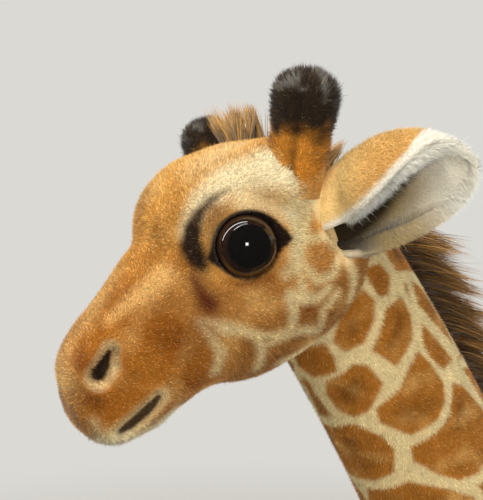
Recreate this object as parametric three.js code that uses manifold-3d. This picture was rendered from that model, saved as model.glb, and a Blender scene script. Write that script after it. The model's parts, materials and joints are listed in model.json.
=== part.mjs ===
// A standing plush giraffe, in millimetres. It faces -Y, +Z is up, its left side is +X, and the origin is on the
// ground under the middle of its outline. Each stuffed piece is its sewn plush skin with the fibre fill in it.
import * as THREE from 'three';
import { mergeVertices } from 'three/addons/utils/BufferGeometryUtils.js';
import Module from 'manifold-3d';

const wasm = await Module();
wasm.setup();

// Fits
const SEAM_GAP = 0.3; // between two sewn pieces that lie against each other
const TURN_GAP = 0.5; // between a sewn root and the dent that it turns in
const CUT_OVERRUN = 4; // how far a cutting form runs past what it cuts

// Torso
const TORSO_LENGTH = 148;
const TORSO_WIDTH = 60;
const TORSO_HEIGHT = 72;
const TORSO_MIDDLE_Z = 186; // height of the middle of the torso above the ground
const TORSO_SLOPE = 14; // drop of the back from withers to rump

// Legs
const FRONT_LEG_Y = -44;
const REAR_LEG_Y = 50;
const LEG_SPREAD_X = 20; // from the middle plane to the middle of each leg
const LEG_WIDTH = 17; // shank, across
const LEG_DEPTH = 18; // shank, front to back
const THIGH_WIDTH = 24;
const SHOULDER_DEPTH = 40;
const HAUNCH_DEPTH = 48;
const HOCK_SETBACK = 6; // how far the rear shank stands behind the knee
const HOOF_HEIGHT = 15;
const HOOF_WIDTH = 20;
const HOOF_LENGTH = 24;
const HOOF_CLEFT = 1.6; // width of the split between the toes
const HOOF_CLEFT_DEPTH = 3.4;
const HOOF_CLEFT_LEAN = 12; // degrees that the split leans back with the toes

// Neck
const NECK_LENGTH = 186; // along its middle, from inside the chest to inside the skull
const NECK_LEAN_TOP = 37; // degrees from upright, under the head
const NECK_LEAN_BASE = 27;
const NECK_ROOT_Y = -34; // where its middle line starts inside the chest
const NECK_ROOT_Z = 196;
const NECK_TOP_WIDTH = 36;
const NECK_TOP_DEPTH = 46;
const NECK_BASE_WIDTH = 48;
const NECK_BASE_DEPTH = 64;

// Head, in its own frame: x to the left, y back from the nose tip along the muzzle, z square to the muzzle
const HEAD_PITCH = 31; // degrees that the muzzle points down
const HEAD_LENGTH = 95;
const HEAD_WIDTH = 50;
const HEAD_HEIGHT = 60;

// Horns
const HORN_LENGTH = 30; // from its root inside the skull's outline to its top
const HORN_DIAMETER = 15;
const HORN_SPLAY = 21; // degrees outward
const HORN_RAKE = 25; // degrees back from square to the muzzle

// Ears
const EAR_LENGTH = 39; // from the seam at the head to the tip
const EAR_WIDTH = 29;
const EAR_CUP_DEPTH = 15;
const EAR_BACK_THICKNESS = 1.6;
const EAR_LINING_THICKNESS = 2.4;
const EAR_SWEEP = 42; // degrees that the ear stands out from straight back
const EAR_SEAM_LENGTH = 19;
const EAR_ROOT_DIAMETER = 8.4;
const EAR_SWING_FORWARD = 25; // degrees that the ear turns on its seam
const EAR_SWING_BACK = 20;

// Eyes: a clear dome on a black backing with a ribbed stem, held by a washer inside the skin
const EYE_DIAMETER = 15;
const EYE_DOME_HEIGHT = 5.4;
const EYE_BACKING_THICKNESS = 1.6;
const EYE_TURN = 18; // degrees that the eye looks forward of straight out
const EYE_TILT = 4; // degrees that it looks up
const EYE_STEM_DIAMETER = 4.4;
const EYE_STEM_LENGTH = 11;
const EYE_RIB_DEPTH = 0.35;
const SKIN_THICKNESS = 2; // pile fabric with its backing
const WASHER_DIAMETER = 14;
const WASHER_THICKNESS = 1.4;

// Mane, forelock and tail
const MANE_HEIGHT = 14;
const MANE_WIDTH = 7.5;
const FORELOCK_HEIGHT = 9.5;
const FORELOCK_LENGTH = 11.5;
const FORELOCK_WIDTH = 10;
const TAIL_LENGTH = 74; // plush cord, root to tuft
const TAIL_DIAMETER = 6.4;
const TAIL_ROOT_DIAMETER = 9.6;
const TAIL_ROOT_Z = 194;
const TAIL_STANDOFF = 12; // how far behind its root the cord hangs
const TUFT_LENGTH = 44;
const TUFT_DIAMETER = 15;

// Bendable frame in the fill: one spine wire and a wire through each pair of legs, wrapped together
const WIRE_DIAMETER = 3;
const WIRE_END_GAP = 8; // from a wire's end to the hoof

const radians = THREE.MathUtils.degToRad;
const v = (x, y, z) => new THREE.Vector3(x, y, z);
const SIDES = { left: 1, right: -1 };

// Mesh building

function closedMesh(points, faces) {
  const geometry = new THREE.BufferGeometry();
  geometry.setAttribute('position', new THREE.Float32BufferAttribute(points.flatMap((p) => p.toArray()), 3));
  let volume = 0;
  for (const [a, b, c] of faces) volume += points[a].dot(points[b].clone().cross(points[c]));
  geometry.setIndex(volume < 0 ? faces.flatMap(([a, b, c]) => [a, c, b]) : faces.flat());
  return geometry;
}

// A skin over rings of equally many points, closed at each end by a point, or flat where no point is given.
function skinOver(rings, startPoint, endPoint) {
  const count = rings[0].length;
  const points = rings.flat();
  const faces = [];
  for (let r = 0; r + 1 < rings.length; r += 1) {
    for (let i = 0; i < count; i += 1) {
      const a = r * count + i;
      const b = r * count + ((i + 1) % count);
      faces.push([a, b, a + count], [b, b + count, a + count]);
    }
  }
  const middle = (ring) => ring.reduce((sum, p) => sum.add(p), v(0, 0, 0)).divideScalar(count);
  points.push(startPoint ?? middle(rings[0]), endPoint ?? middle(rings.at(-1)));
  const last = (rings.length - 1) * count;
  for (let i = 0; i < count; i += 1) {
    const next = (i + 1) % count;
    faces.push([next, i, points.length - 2], [last + i, last + next, points.length - 1]);
  }
  return closedMesh(points, faces);
}

// One ring of a stuffed form. Its upper and lower halves may differ, and fullness above 2 squares it.
function sectionRing({ at, across, up, half, top, bottom = top, fullness = 2 }, sides) {
  return Array.from({ length: sides }, (_, i) => {
    const angle = (2 * Math.PI * (i + 0.5)) / sides;
    const round = (value) => Math.sign(value) * Math.abs(value) ** (2 / fullness);
    const rise = Math.sin(angle) > 0 ? top : bottom;
    return at.clone()
      .addScaledVector(across, half * round(Math.cos(angle)))
      .addScaledVector(up, rise * round(Math.sin(angle)));
  });
}

// The same closed form with its surface moved out by a gap, to cut a neighbour with.
function grown(geometry, gap) {
  const bare = geometry.clone();
  for (const name of ['normal', 'uv']) bare.deleteAttribute(name);
  const merged = mergeVertices(bare);
  merged.computeVertexNormals();
  const { position, normal } = merged.attributes;
  for (let i = 0; i < position.count; i += 1) {
    position.setXYZ(
      i,
      position.getX(i) + gap * normal.getX(i),
      position.getY(i) + gap * normal.getY(i),
      position.getZ(i) + gap * normal.getZ(i),
    );
  }
  return merged;
}

function toSolid(geometry, matrix = new THREE.Matrix4()) {
  const bare = geometry.clone().applyMatrix4(matrix);
  for (const name of ['normal', 'uv']) bare.deleteAttribute(name);
  const merged = mergeVertices(bare);
  return new wasm.Manifold(new wasm.Mesh({
    numProp: 3,
    vertProperties: merged.attributes.position.array,
    triVerts: Uint32Array.from(merged.index.array),
  }));
}

function toGeometry(solid) {
  const mesh = solid.getMesh();
  const geometry = new THREE.BufferGeometry();
  geometry.setAttribute('position', new THREE.BufferAttribute(mesh.vertProperties, 3));
  geometry.setIndex(new THREE.BufferAttribute(mesh.triVerts, 1));
  return geometry;
}

const cut = (geometry, ...tools) => toGeometry(tools.reduce((sum, tool) => sum.subtract(toSolid(tool)), toSolid(geometry)));
const joined = (...forms) => toGeometry(forms.slice(1).reduce((sum, form) => sum.add(toSolid(form)), toSolid(forms[0])));
const moved = (geometry, matrix) => geometry.clone().applyMatrix4(matrix);

function ellipsoid(at, x, y, z, around = 16, rows = 10) {
  const form = new THREE.SphereGeometry(1, around, rows);
  return form.scale(x, y, z).translate(at.x, at.y, at.z);
}

// A value read off a table of [place, value, ...] rows, with a smooth curve through them.
function alongTable(table, place, column) {
  const last = table.length - 1;
  const k = Math.min(Math.max(table.findIndex((row) => row[0] >= place), 1), last);
  const share = THREE.MathUtils.clamp((place - table[k - 1][0]) / (table[k][0] - table[k - 1][0]), 0, 1);
  const slope = (i) => {
    const [low, high] = [Math.max(i - 1, 0), Math.min(i + 1, last)];
    return (table[high][column] - table[low][column]) / (table[high][0] - table[low][0]);
  };
  const span = table[k][0] - table[k - 1][0];
  const [a, b] = [table[k - 1][column], table[k][column]];
  const [s2, s3] = [share ** 2, share ** 3];
  return a * (2 * s3 - 3 * s2 + 1) + b * (3 * s2 - 2 * s3)
    + span * (slope(k - 1) * (s3 - 2 * s2 + share) + slope(k) * (s3 - s2));
}

// Torso: rows of [place from chest to rump, half width, half height above and below the middle line]

const torsoShares = [
  [0.03, 0.15, 0.16, 0.16],
  [0.1, 0.3, 0.3, 0.34],
  [0.2, 0.42, 0.42, 0.48],
  [0.32, 0.48, 0.5, 0.52],
  [0.46, 0.5, 0.49, 0.49],
  [0.62, 0.5, 0.47, 0.46],
  [0.77, 0.48, 0.46, 0.43],
  [0.88, 0.4, 0.38, 0.35],
  [0.95, 0.28, 0.26, 0.24],
  [0.99, 0.12, 0.12, 0.11],
];
const torsoFrontY = FRONT_LEG_Y + (REAR_LEG_Y - FRONT_LEG_Y) / 2 - TORSO_LENGTH / 2;
const torsoMiddle = (share) => v(0, torsoFrontY + share * TORSO_LENGTH, TORSO_MIDDLE_Z + TORSO_SLOPE * (0.5 - share));
const torsoShareAt = (y) => (y - torsoFrontY) / TORSO_LENGTH;

function torsoForm() {
  const rings = torsoShares.map(([share, half, top, bottom]) => sectionRing({
    at: torsoMiddle(share),
    across: v(1, 0, 0),
    up: v(0, 0, 1),
    half: half * TORSO_WIDTH,
    top: top * TORSO_HEIGHT,
    bottom: bottom * TORSO_HEIGHT,
    fullness: 2.2,
  }, 20));
  return skinOver(rings, torsoMiddle(0), torsoMiddle(1));
}

// Legs: rows of [height, set back, half width, half depth]. Widths and depths pass from shank to thigh.

const frontLegShares = [
  [0, 0, 0.52, 0.56],
  [0.05, 0.02, 0.53, 0.58],
  [0.1, 0.02, 0.48, 0.5],
  [0.2, 0, 0.43, 0.44],
  [0.33, -0.02, 0.46, 0.46],
  [0.42, -0.06, 0.55, 0.58],
  [0.49, -0.02, 0.54, 0.56],
  [0.58, 0.02, 0.56, 0.62],
];
const rearLegShares = [
  [0, 1, 0.52, 0.56],
  [0.05, 1, 0.53, 0.58],
  [0.1, 1.02, 0.48, 0.5],
  [0.2, 1.04, 0.43, 0.45],
  [0.33, 1.06, 0.47, 0.5],
  [0.42, 1.02, 0.56, 0.64],
  [0.49, 0.8, 0.56, 0.66],
  [0.58, 0.45, 0.6, 0.8],
];
// Rows of the same kind over the upper leg, in shares of the thigh's width and depth
const thighShares = [
  [0.72, 0, 0.46, 0.42],
  [0.82, 0, 0.52, 0.5],
  [0.92, 0, 0.48, 0.5],
  [1.0, 0.02, 0.36, 0.42],
  [1.06, 0.03, 0.2, 0.26],
];
const legTopZ = TORSO_MIDDLE_Z;
const legBottomZ = HOOF_HEIGHT + SEAM_GAP;
const legHeight = (share) => legBottomZ + share * (legTopZ - legBottomZ);

const LEGS = {
  front: { y: FRONT_LEG_Y, shares: frontLegShares, depth: SHOULDER_DEPTH, setback: HOCK_SETBACK / 6 },
  rear: { y: REAR_LEG_Y, shares: rearLegShares, depth: HAUNCH_DEPTH, setback: HOCK_SETBACK },
};

function legSection(leg, side, [share, back, half, depth], width, length) {
  return {
    at: v(side * LEG_SPREAD_X, leg.y + back * leg.setback, legHeight(share)),
    across: v(1, 0, 0),
    up: v(0, 1, 0),
    half: half * width,
    top: depth * length,
  };
}

function legForm(leg, side) {
  const sections = [
    ...leg.shares.map((row) => legSection(leg, side, row, LEG_WIDTH, LEG_DEPTH)),
    ...thighShares.map((row) => legSection(leg, side, row, THIGH_WIDTH, leg.depth)),
  ];
  const top = sections.at(-1);
  return skinOver(
    sections.map((section) => sectionRing(section, 14)),
    null,
    top.at.clone().setZ(top.at.z + top.half / 2),
  );
}

// A hoof is a stiff cap under the leg: a flat sole, a flared wall and a cleft between the toes.
const hoofShares = [
  [0, 0.86],
  [0.14, 1],
  [0.5, 0.94],
  [0.86, 0.84],
  [1, 0.76],
];

function hoofForm(leg, side) {
  const foot = legSection(leg, side, leg.shares[0], LEG_WIDTH, LEG_DEPTH);
  const toe = (HOOF_LENGTH - 2 * foot.top) / 2; // the toes reach forward of the leg
  const rings = hoofShares.map(([rise, spread]) => sectionRing({
    at: v(foot.at.x, foot.at.y - toe * (1 - rise), rise * HOOF_HEIGHT),
    across: v(1, 0, 0),
    up: v(0, 1, 0),
    half: spread * HOOF_WIDTH / 2,
    top: spread * HOOF_LENGTH / 2,
    fullness: 2.3,
  }, 14));
  const cleft = new THREE.BoxGeometry(HOOF_CLEFT, 2 * HOOF_CLEFT_DEPTH, 2 * HOOF_HEIGHT + CUT_OVERRUN);
  cleft.rotateX(-radians(HOOF_CLEFT_LEAN)).translate(foot.at.x, foot.at.y - toe - HOOF_LENGTH / 2, HOOF_HEIGHT / 2);
  return cut(skinOver(rings), cleft);
}

// Neck: its middle line leans forward, more so under the head

const neckSteps = 12;
function neckLine() {
  const line = [v(0, NECK_ROOT_Y, NECK_ROOT_Z)];
  for (let i = 0; i < neckSteps; i += 1) {
    const lean = radians(THREE.MathUtils.lerp(NECK_LEAN_BASE, NECK_LEAN_TOP, (i + 0.5) / neckSteps));
    const step = NECK_LENGTH / neckSteps;
    line.push(line.at(-1).clone().add(v(0, -Math.sin(lean) * step, Math.cos(lean) * step)));
  }
  return line;
}
const neckMiddle = neckLine();
// Rows of [place, half width, half depth in front, half depth behind], from the chest up
const neckSwellShares = [
  [0, 0.9, 0.86, 0.8],
  [0.12, 1, 0.96, 1],
  [0.3, 0.72, 0.62, 0.8],
  [0.5, 0.44, 0.3, 0.6],
  [0.75, 0.16, 0.08, 0.34],
  [1, 0, 0, 0],
];

function neckSection(i) {
  const share = i / neckSteps;
  const before = neckMiddle[Math.max(i - 1, 0)];
  const after = neckMiddle[Math.min(i + 1, neckSteps)];
  const along = after.clone().sub(before).normalize();
  const size = (column, thin, thick) => THREE.MathUtils.lerp(thin, thick, alongTable(neckSwellShares, share, column)) / 2;
  return {
    at: neckMiddle[i],
    across: v(1, 0, 0),
    up: v(1, 0, 0).cross(along), // square to the line, toward the mane
    half: size(1, NECK_TOP_WIDTH, NECK_BASE_WIDTH),
    top: size(3, NECK_TOP_DEPTH, NECK_BASE_DEPTH),
    bottom: size(2, NECK_TOP_DEPTH, NECK_BASE_DEPTH),
    fullness: 2.05,
  };
}
const neckSections = neckMiddle.map((_, i) => {
  const section = neckSection(i);
  if (section.up.y < 0) section.up.negate();
  return section;
});

function neckForm() {
  return skinOver(neckSections.map((section) => sectionRing(section, 18)));
}

// Head: rows of [place from the nose tip, half width, top, bottom, fullness]

const headShares = [
  [0.006, 0.13, -0.045, -0.225, 2.2],
  [0.028, 0.185, 0.045, -0.295, 2.3],
  [0.065, 0.235, 0.105, -0.35, 2.4],
  [0.12, 0.27, 0.155, -0.392, 2.5],
  [0.185, 0.286, 0.197, -0.4, 2.5],
  [0.255, 0.292, 0.243, -0.378, 2.4],
  [0.32, 0.306, 0.28, -0.368, 2.3],
  [0.38, 0.34, 0.32, -0.388, 2.3],
  [0.43, 0.39, 0.4, -0.43, 2.35],
  [0.495, 0.445, 0.488, -0.46, 2.4],
  [0.57, 0.478, 0.535, -0.473, 2.4],
  [0.645, 0.484, 0.53, -0.483, 2.3],
  [0.715, 0.5, 0.517, -0.483, 2.3],
  [0.79, 0.5, 0.48, -0.467, 2.3],
  [0.865, 0.47, 0.417, -0.417, 2.2],
  [0.93, 0.39, 0.31, -0.32, 2.1],
  [0.98, 0.25, 0.17, -0.19, 2],
];
// Places on the head as shares of its half width, length and height: out, back and up
const headPlaceShares = {
  neckEnd: [0, 0.863, -0.208],
  eye: [0.816, 0.553, 0.133],
  ear: [0.96, 0.826, 0.033],
  horn: [0.82, 0.747, 0.217],
  forelock: [0, 0.762, 0],
};
function headPlace(name, side = 1) {
  const [out, back, up] = headPlaceShares[name];
  return v(side * out * HEAD_WIDTH / 2, back * HEAD_LENGTH, up * HEAD_HEIGHT);
}

function headForm() {
  const rings = headShares.map(([share, half, top, bottom, fullness]) => sectionRing({
    at: v(0, share * HEAD_LENGTH, (top + bottom) / 2 * HEAD_HEIGHT),
    across: v(1, 0, 0),
    up: v(0, 0, 1),
    half: half * HEAD_WIDTH,
    top: (top - bottom) / 2 * HEAD_HEIGHT,
    fullness,
  }, 22));
  const tip = (row, end) => v(0, end * HEAD_LENGTH, (row[2] + row[3]) / 2 * HEAD_HEIGHT);
  return skinOver(rings, tip(headShares[0], 0 - headShares[0][0]), tip(headShares.at(-1), 1));
}

const neckEnd = neckMiddle.at(-1);
const headTurn = new THREE.Euler(radians(HEAD_PITCH), 0, 0);
const seatInHead = headPlace('neckEnd').applyEuler(headTurn);
const headGroup = new THREE.Group();
headGroup.position.copy(neckEnd).sub(seatInHead);
headGroup.rotation.copy(headTurn);
headGroup.updateMatrix();
const headInverse = headGroup.matrix.clone().invert();

// Horns: stuffed pegs with a fuller top, their roots inside the skull's outline

const hornShares = [
  [0, 0.42],
  [0.16, 0.44],
  [0.34, 0.45],
  [0.52, 0.47],
  [0.7, 0.5],
  [0.84, 0.48],
  [0.93, 0.38],
  [0.98, 0.2],
];

function hornForm(side) {
  const axis = v(0, 0, 1).applyEuler(new THREE.Euler(-radians(HORN_RAKE), side * radians(HORN_SPLAY), 0, 'YXZ'));
  const root = headPlace('horn', side);
  const across = v(0, 1, 0).cross(axis).normalize();
  const up = axis.clone().cross(across);
  const along = (share) => root.clone().addScaledVector(axis, share * HORN_LENGTH);
  const rings = hornShares.map(([share, half]) => sectionRing({
    at: along(share), across, up, half: half * HORN_DIAMETER, top: half * HORN_DIAMETER,
  }, 12));
  return skinOver(rings, null, along(1));
}

// Ears: a cupped leaf of two layers, whose upper edge rolls forward and down over the opening.
// Its frame: the root's seam is along the head's z, the leaf runs out along +y, and it opens toward +x.

// Rows of [place along the leaf, half width, depth, where the roll ends and the lower edge, in degrees]
const earShares = [
  [0.06, 0.35, 0.28, 32, 318],
  [0.16, 0.39, 0.4, 34, 312],
  [0.3, 0.45, 0.49, 38, 304],
  [0.46, 0.5, 0.5, 44, 296],
  [0.62, 0.5, 0.44, 52, 286],
  [0.76, 0.45, 0.34, 62, 276],
  [0.88, 0.34, 0.23, 72, 268],
  [0.96, 0.2, 0.13, 80, 260],
];
const earRiseShare = 0.05; // the leaf bows up along its length
const earSegments = 11;

// One layer of the ear between two depths below its outer face.
function earLayer(outerDepth, innerDepth, from, to) {
  const rows = earShares.filter(([share]) => share >= from && share <= to);
  const arc = ([share, half, depth, start, end], inset) => Array.from({ length: earSegments }, (_, i) => {
    const angle = radians(THREE.MathUtils.lerp(start, end, i / (earSegments - 1)));
    const wide = Math.max(half * EAR_WIDTH - inset, outerDepth / 2 + EAR_BACK_THICKNESS / 2);
    const deep = Math.max(depth * EAR_CUP_DEPTH - inset, outerDepth / 2 + EAR_BACK_THICKNESS / 4);
    const rise = earRiseShare * EAR_WIDTH * Math.sin(Math.PI * share);
    return v(deep * Math.cos(angle), share * EAR_LENGTH, rise + wide * Math.sin(angle));
  });
  const rings = rows.map((row) => [...arc(row, outerDepth), ...arc(row, innerDepth).reverse()]);
  const count = rings[0].length;
  const points = rings.flat();
  const faces = [];
  for (let r = 0; r + 1 < rings.length; r += 1) {
    for (let i = 0; i < count; i += 1) {
      const a = r * count + i;
      const b = r * count + ((i + 1) % count);
      faces.push([a, b, a + count], [b, b + count, a + count]);
    }
  }
  const last = (rings.length - 1) * count;
  for (let i = 0; i + 1 < earSegments; i += 1) {
    const mate = count - 1 - i;
    faces.push([i, mate, i + 1], [i + 1, mate, mate - 1]);
    faces.push([last + i, last + i + 1, last + mate], [last + i + 1, last + mate - 1, last + mate]);
  }
  return closedMesh(points, faces);
}

// The root is rounded about the seam, so that the ear can turn on it.
const earRoot = (radius) => new THREE.CapsuleGeometry(radius, EAR_SEAM_LENGTH - EAR_ROOT_DIAMETER, 3, 12)
  .rotateX(Math.PI / 2);

const earPlace = new THREE.Matrix4()
  .makeTranslation(headPlace('ear'))
  .multiply(new THREE.Matrix4().makeRotationZ(-radians(EAR_SWEEP)));

// The leaf is trimmed clear of a neighbour over its whole swing.
function clearOfSwing(leaf, neighbour) {
  const inEar = moved(neighbour, earPlace.clone().invert());
  const turns = [-EAR_SWING_FORWARD, -EAR_SWING_FORWARD / 2, 0, EAR_SWING_BACK / 2, EAR_SWING_BACK];
  return cut(leaf, ...turns.map((turn) => moved(inEar, new THREE.Matrix4().makeRotationZ(-radians(turn)))));
}

function leftEar(headRoom) {
  const liningStart = EAR_BACK_THICKNESS + SEAM_GAP;
  const root = earRoot(EAR_ROOT_DIAMETER / 2);
  const back = joined(clearOfSwing(earLayer(0, EAR_BACK_THICKNESS, 0, 1), headRoom), root);
  const lining = clearOfSwing(
    cut(earLayer(liningStart, liningStart + EAR_LINING_THICKNESS, 0.1, 0.93), grown(root, SEAM_GAP)),
    headRoom,
  );
  return { back: moved(back, earPlace), lining: moved(lining, earPlace) };
}

function mirrorX(geometry) {
  const copy = geometry.clone().applyMatrix4(new THREE.Matrix4().makeScale(-1, 1, 1));
  const order = copy.index.array;
  for (let i = 0; i < order.length; i += 3) [order[i], order[i + 1]] = [order[i + 1], order[i]];
  return copy;
}

// Eyes, turned about their own axis, which looks along +y before they are placed

const eyeSides = 16;
const turned = (profile, sides) => new THREE.LatheGeometry(profile.map(([r, h]) => new THREE.Vector2(r, h)), sides);

function eyePlace(side) {
  const turn = new THREE.Euler(radians(EYE_TILT), 0, side * -radians(90 + EYE_TURN), 'ZXY');
  return new THREE.Matrix4()
    .makeTranslation(headPlace('eye', side))
    .multiply(new THREE.Matrix4().makeRotationFromEuler(turn));
}

function eyeLens() {
  const base = EYE_BACKING_THICKNESS + SEAM_GAP;
  const steps = 6;
  const dome = Array.from({ length: steps + 1 }, (_, i) => {
    const angle = (Math.PI / 2) * (i / steps);
    return [Math.cos(angle) * EYE_DIAMETER / 2, base + EYE_DOME_HEIGHT * Math.sin(angle)];
  });
  dome[steps][0] = 0;
  return turned([[0, base], ...dome], eyeSides);
}

const stemRibs = 4;
function eyeBacking() {
  const rib = EYE_STEM_LENGTH / (stemRibs + 2);
  const stem = [[0, -EYE_STEM_LENGTH], [EYE_STEM_DIAMETER / 2 - EYE_RIB_DEPTH, -EYE_STEM_LENGTH]];
  for (let i = 0; i < stemRibs; i += 1) {
    const z = -EYE_STEM_LENGTH + (i + 0.5) * rib;
    stem.push([EYE_STEM_DIAMETER / 2 - EYE_RIB_DEPTH, z + rib / 4], [EYE_STEM_DIAMETER / 2, z + rib / 2]);
  }
  return turned([
    ...stem,
    [EYE_STEM_DIAMETER / 2, 0],
    [EYE_DIAMETER / 2 - EYE_RIB_DEPTH, 0],
    [EYE_DIAMETER / 2, EYE_BACKING_THICKNESS / 2],
    [EYE_DIAMETER / 2, EYE_BACKING_THICKNESS],
    [0, EYE_BACKING_THICKNESS],
  ], eyeSides);
}

const washerTop = -SKIN_THICKNESS - SEAM_GAP;
function eyeWasher() {
  const bore = EYE_STEM_DIAMETER / 2 + SEAM_GAP;
  const low = washerTop - WASHER_THICKNESS;
  return turned([
    [bore, washerTop],
    [bore, low - WASHER_THICKNESS / 2],
    [bore + WASHER_THICKNESS, low - WASHER_THICKNESS / 2],
    [bore + 2 * WASHER_THICKNESS, low],
    [WASHER_DIAMETER / 2, low],
    [WASHER_DIAMETER / 2, washerTop],
    [bore, washerTop],
  ], eyeSides);
}

// The room that an eye takes in the head: its seat, the hole for its stem and the pocket for its washer.
function eyeRoom() {
  const hole = EYE_STEM_DIAMETER / 2 + SEAM_GAP;
  const pocketLow = washerTop - 1.5 * WASHER_THICKNESS - SEAM_GAP;
  return turned([
    [0, -EYE_STEM_LENGTH - SEAM_GAP],
    [hole, -EYE_STEM_LENGTH - SEAM_GAP],
    [hole, pocketLow],
    [WASHER_DIAMETER / 2 + SEAM_GAP, pocketLow],
    [WASHER_DIAMETER / 2 + SEAM_GAP, -SKIN_THICKNESS],
    [hole, -SKIN_THICKNESS],
    [hole, -SEAM_GAP],
    [EYE_DIAMETER / 2 + SEAM_GAP, -SEAM_GAP],
    [EYE_DIAMETER / 2 + SEAM_GAP, EYE_DOME_HEIGHT + CUT_OVERRUN],
    [0, EYE_DOME_HEIGHT + CUT_OVERRUN],
  ], eyeSides);
}

// Mane and forelock: crests of tufts on a narrow base, standing on the line given to them

const crestShares = { middle: 0.25, tip: 0.75, root: 0.55 }; // of a tuft's height; the root is trimmed at the skin
const dipShare = 0.8; // height between two tufts
function crest(line, width) {
  const rings = line.map(({ at, out, height }) => sectionRing({
    at: at.clone().addScaledVector(out, crestShares.middle * height),
    across: v(1, 0, 0),
    up: out,
    half: width / 2,
    top: crestShares.tip * height,
    bottom: crestShares.root * height,
    fullness: 1.7,
  }, 8));
  return skinOver(rings);
}
const tuftHeight = (height, i, endShare) => height * endShare * (i % 2 ? 1 : dipShare);

const maneTufts = 22;
function maneForm() {
  const ridge = neckSections.map(({ at, up, top }) => at.clone().addScaledVector(up, top));
  const curve = new THREE.CatmullRomCurve3(ridge.slice(1));
  const steps = 2 * maneTufts;
  const line = Array.from({ length: steps + 1 }, (_, i) => {
    const along = curve.getTangentAt(i / steps);
    const endShare = Math.min(1, 0.35 + Math.sin((Math.PI * i) / steps) * 1.6);
    return {
      at: curve.getPointAt(i / steps),
      out: v(1, 0, 0).cross(along).negate(),
      height: tuftHeight(MANE_HEIGHT, i, endShare),
    };
  });
  for (const row of line) if (row.out.y < 0) row.out.negate();
  return crest(line, MANE_WIDTH);
}

const forelockTufts = 4;
function forelockForm() {
  const steps = 2 * forelockTufts;
  const middle = headPlace('forelock').y;
  const top = (back) => alongTable(headShares, back / HEAD_LENGTH, 2) * HEAD_HEIGHT;
  const line = Array.from({ length: steps + 1 }, (_, i) => {
    const back = middle + (i / steps - 0.5) * FORELOCK_LENGTH;
    const endShare = 0.45 + 0.55 * Math.sin((Math.PI * i) / steps);
    const lean = radians(HORN_RAKE * (0.3 + i / steps));
    return {
      at: v(0, back, top(back)),
      out: v(0, Math.sin(lean), Math.cos(lean)),
      height: tuftHeight(FORELOCK_HEIGHT, i, endShare),
    };
  });
  return crest(line, FORELOCK_WIDTH);
}

// Tail: a plush cord that hangs from a rounded root in the rump, and a tuft on its end

const tailRootShare = 0.975;
const tailRoot = v(0, torsoMiddle(tailRootShare).y + TURN_GAP, TAIL_ROOT_Z);
const tailLine = new THREE.CatmullRomCurve3([
  tailRoot,
  tailRoot.clone().add(v(0, TAIL_STANDOFF * 0.72, -TAIL_STANDOFF * 0.4)),
  tailRoot.clone().add(v(0, TAIL_STANDOFF * 1.08, -TAIL_STANDOFF * 1.7)),
  tailRoot.clone().add(v(0, TAIL_STANDOFF * 1.08, -TAIL_LENGTH * 0.6)),
  tailRoot.clone().add(v(0, TAIL_STANDOFF, -TAIL_LENGTH)),
]);

function tailForm() {
  const steps = 9;
  const rings = Array.from({ length: steps + 1 }, (_, i) => {
    const along = tailLine.getTangentAt(i / steps);
    const half = TAIL_DIAMETER / 2 * (1.1 - 0.25 * (i / steps));
    return sectionRing({
      at: tailLine.getPointAt(i / steps), across: v(1, 0, 0), up: v(1, 0, 0).cross(along), half, top: half,
    }, 10);
  });
  return joined(skinOver(rings), ellipsoid(tailRoot, TAIL_ROOT_DIAMETER / 2, TAIL_ROOT_DIAMETER / 2, TAIL_ROOT_DIAMETER / 2));
}

const tuftShares = [
  [0, 0.24],
  [0.12, 0.36],
  [0.32, 0.47],
  [0.55, 0.5],
  [0.75, 0.4],
  [0.9, 0.22],
];
function tuftForm() {
  const end = tailLine.getPointAt(1);
  const down = (share) => v(0, end.y, end.z - SEAM_GAP - share * TUFT_LENGTH);
  const rings = tuftShares.map(([share, half]) => sectionRing({
    at: down(share), across: v(1, 0, 0), up: v(0, 1, 0), half: half * TUFT_DIAMETER, top: half * TUFT_DIAMETER,
  }, 10));
  return skinOver(rings, null, down(1));
}

// Bendable frame: tubes along smooth lines, wrapped where they cross

const wireSides = 6;
function wire(points, radius, extra) {
  const ends = points.map((p) => p.clone());
  const last = ends.length - 1;
  ends[0].addScaledVector(ends[0].clone().sub(ends[1]).normalize(), extra);
  ends[last].addScaledVector(ends[last].clone().sub(ends[last - 1]).normalize(), extra);
  const outline = Array.from({ length: wireSides }, (_, i) => {
    const angle = (2 * Math.PI * i) / wireSides;
    return new THREE.Vector2(radius * Math.cos(angle), radius * Math.sin(angle));
  });
  return new THREE.ExtrudeGeometry(new THREE.Shape(outline), {
    steps: 4 * last,
    extrudePath: new THREE.CatmullRomCurve3(ends),
    bevelEnabled: false,
  });
}

function wireRoutes() {
  const leg = (which, side) => {
    const { y, setback, shares } = LEGS[which];
    const at = (share, back) => v(side * LEG_SPREAD_X, y + back * setback, legHeight(share));
    return [
      v(side * LEG_SPREAD_X, y + shares[0][1] * setback, legBottomZ + WIRE_END_GAP),
      at(0.33, shares[4][1]),
      at(0.58, shares[7][1]),
      at(0.82, 0),
    ];
  };
  const pair = (which) => [
    ...leg(which, 1),
    torsoMiddle(torsoShareAt(LEGS[which].y)),
    ...leg(which, -1).reverse(),
  ];
  const spine = [
    torsoMiddle(torsoShareAt(REAR_LEG_Y)),
    torsoMiddle(0.5),
    torsoMiddle(torsoShareAt(FRONT_LEG_Y)),
    ...[3, 6, 9].map((i) => neckMiddle[i]),
    neckEnd,
  ];
  return [pair('front'), pair('rear'), spine];
}
const wires = (radius, extra) => wireRoutes().map((route) => wire(route, radius, extra));

// Assembly

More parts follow.
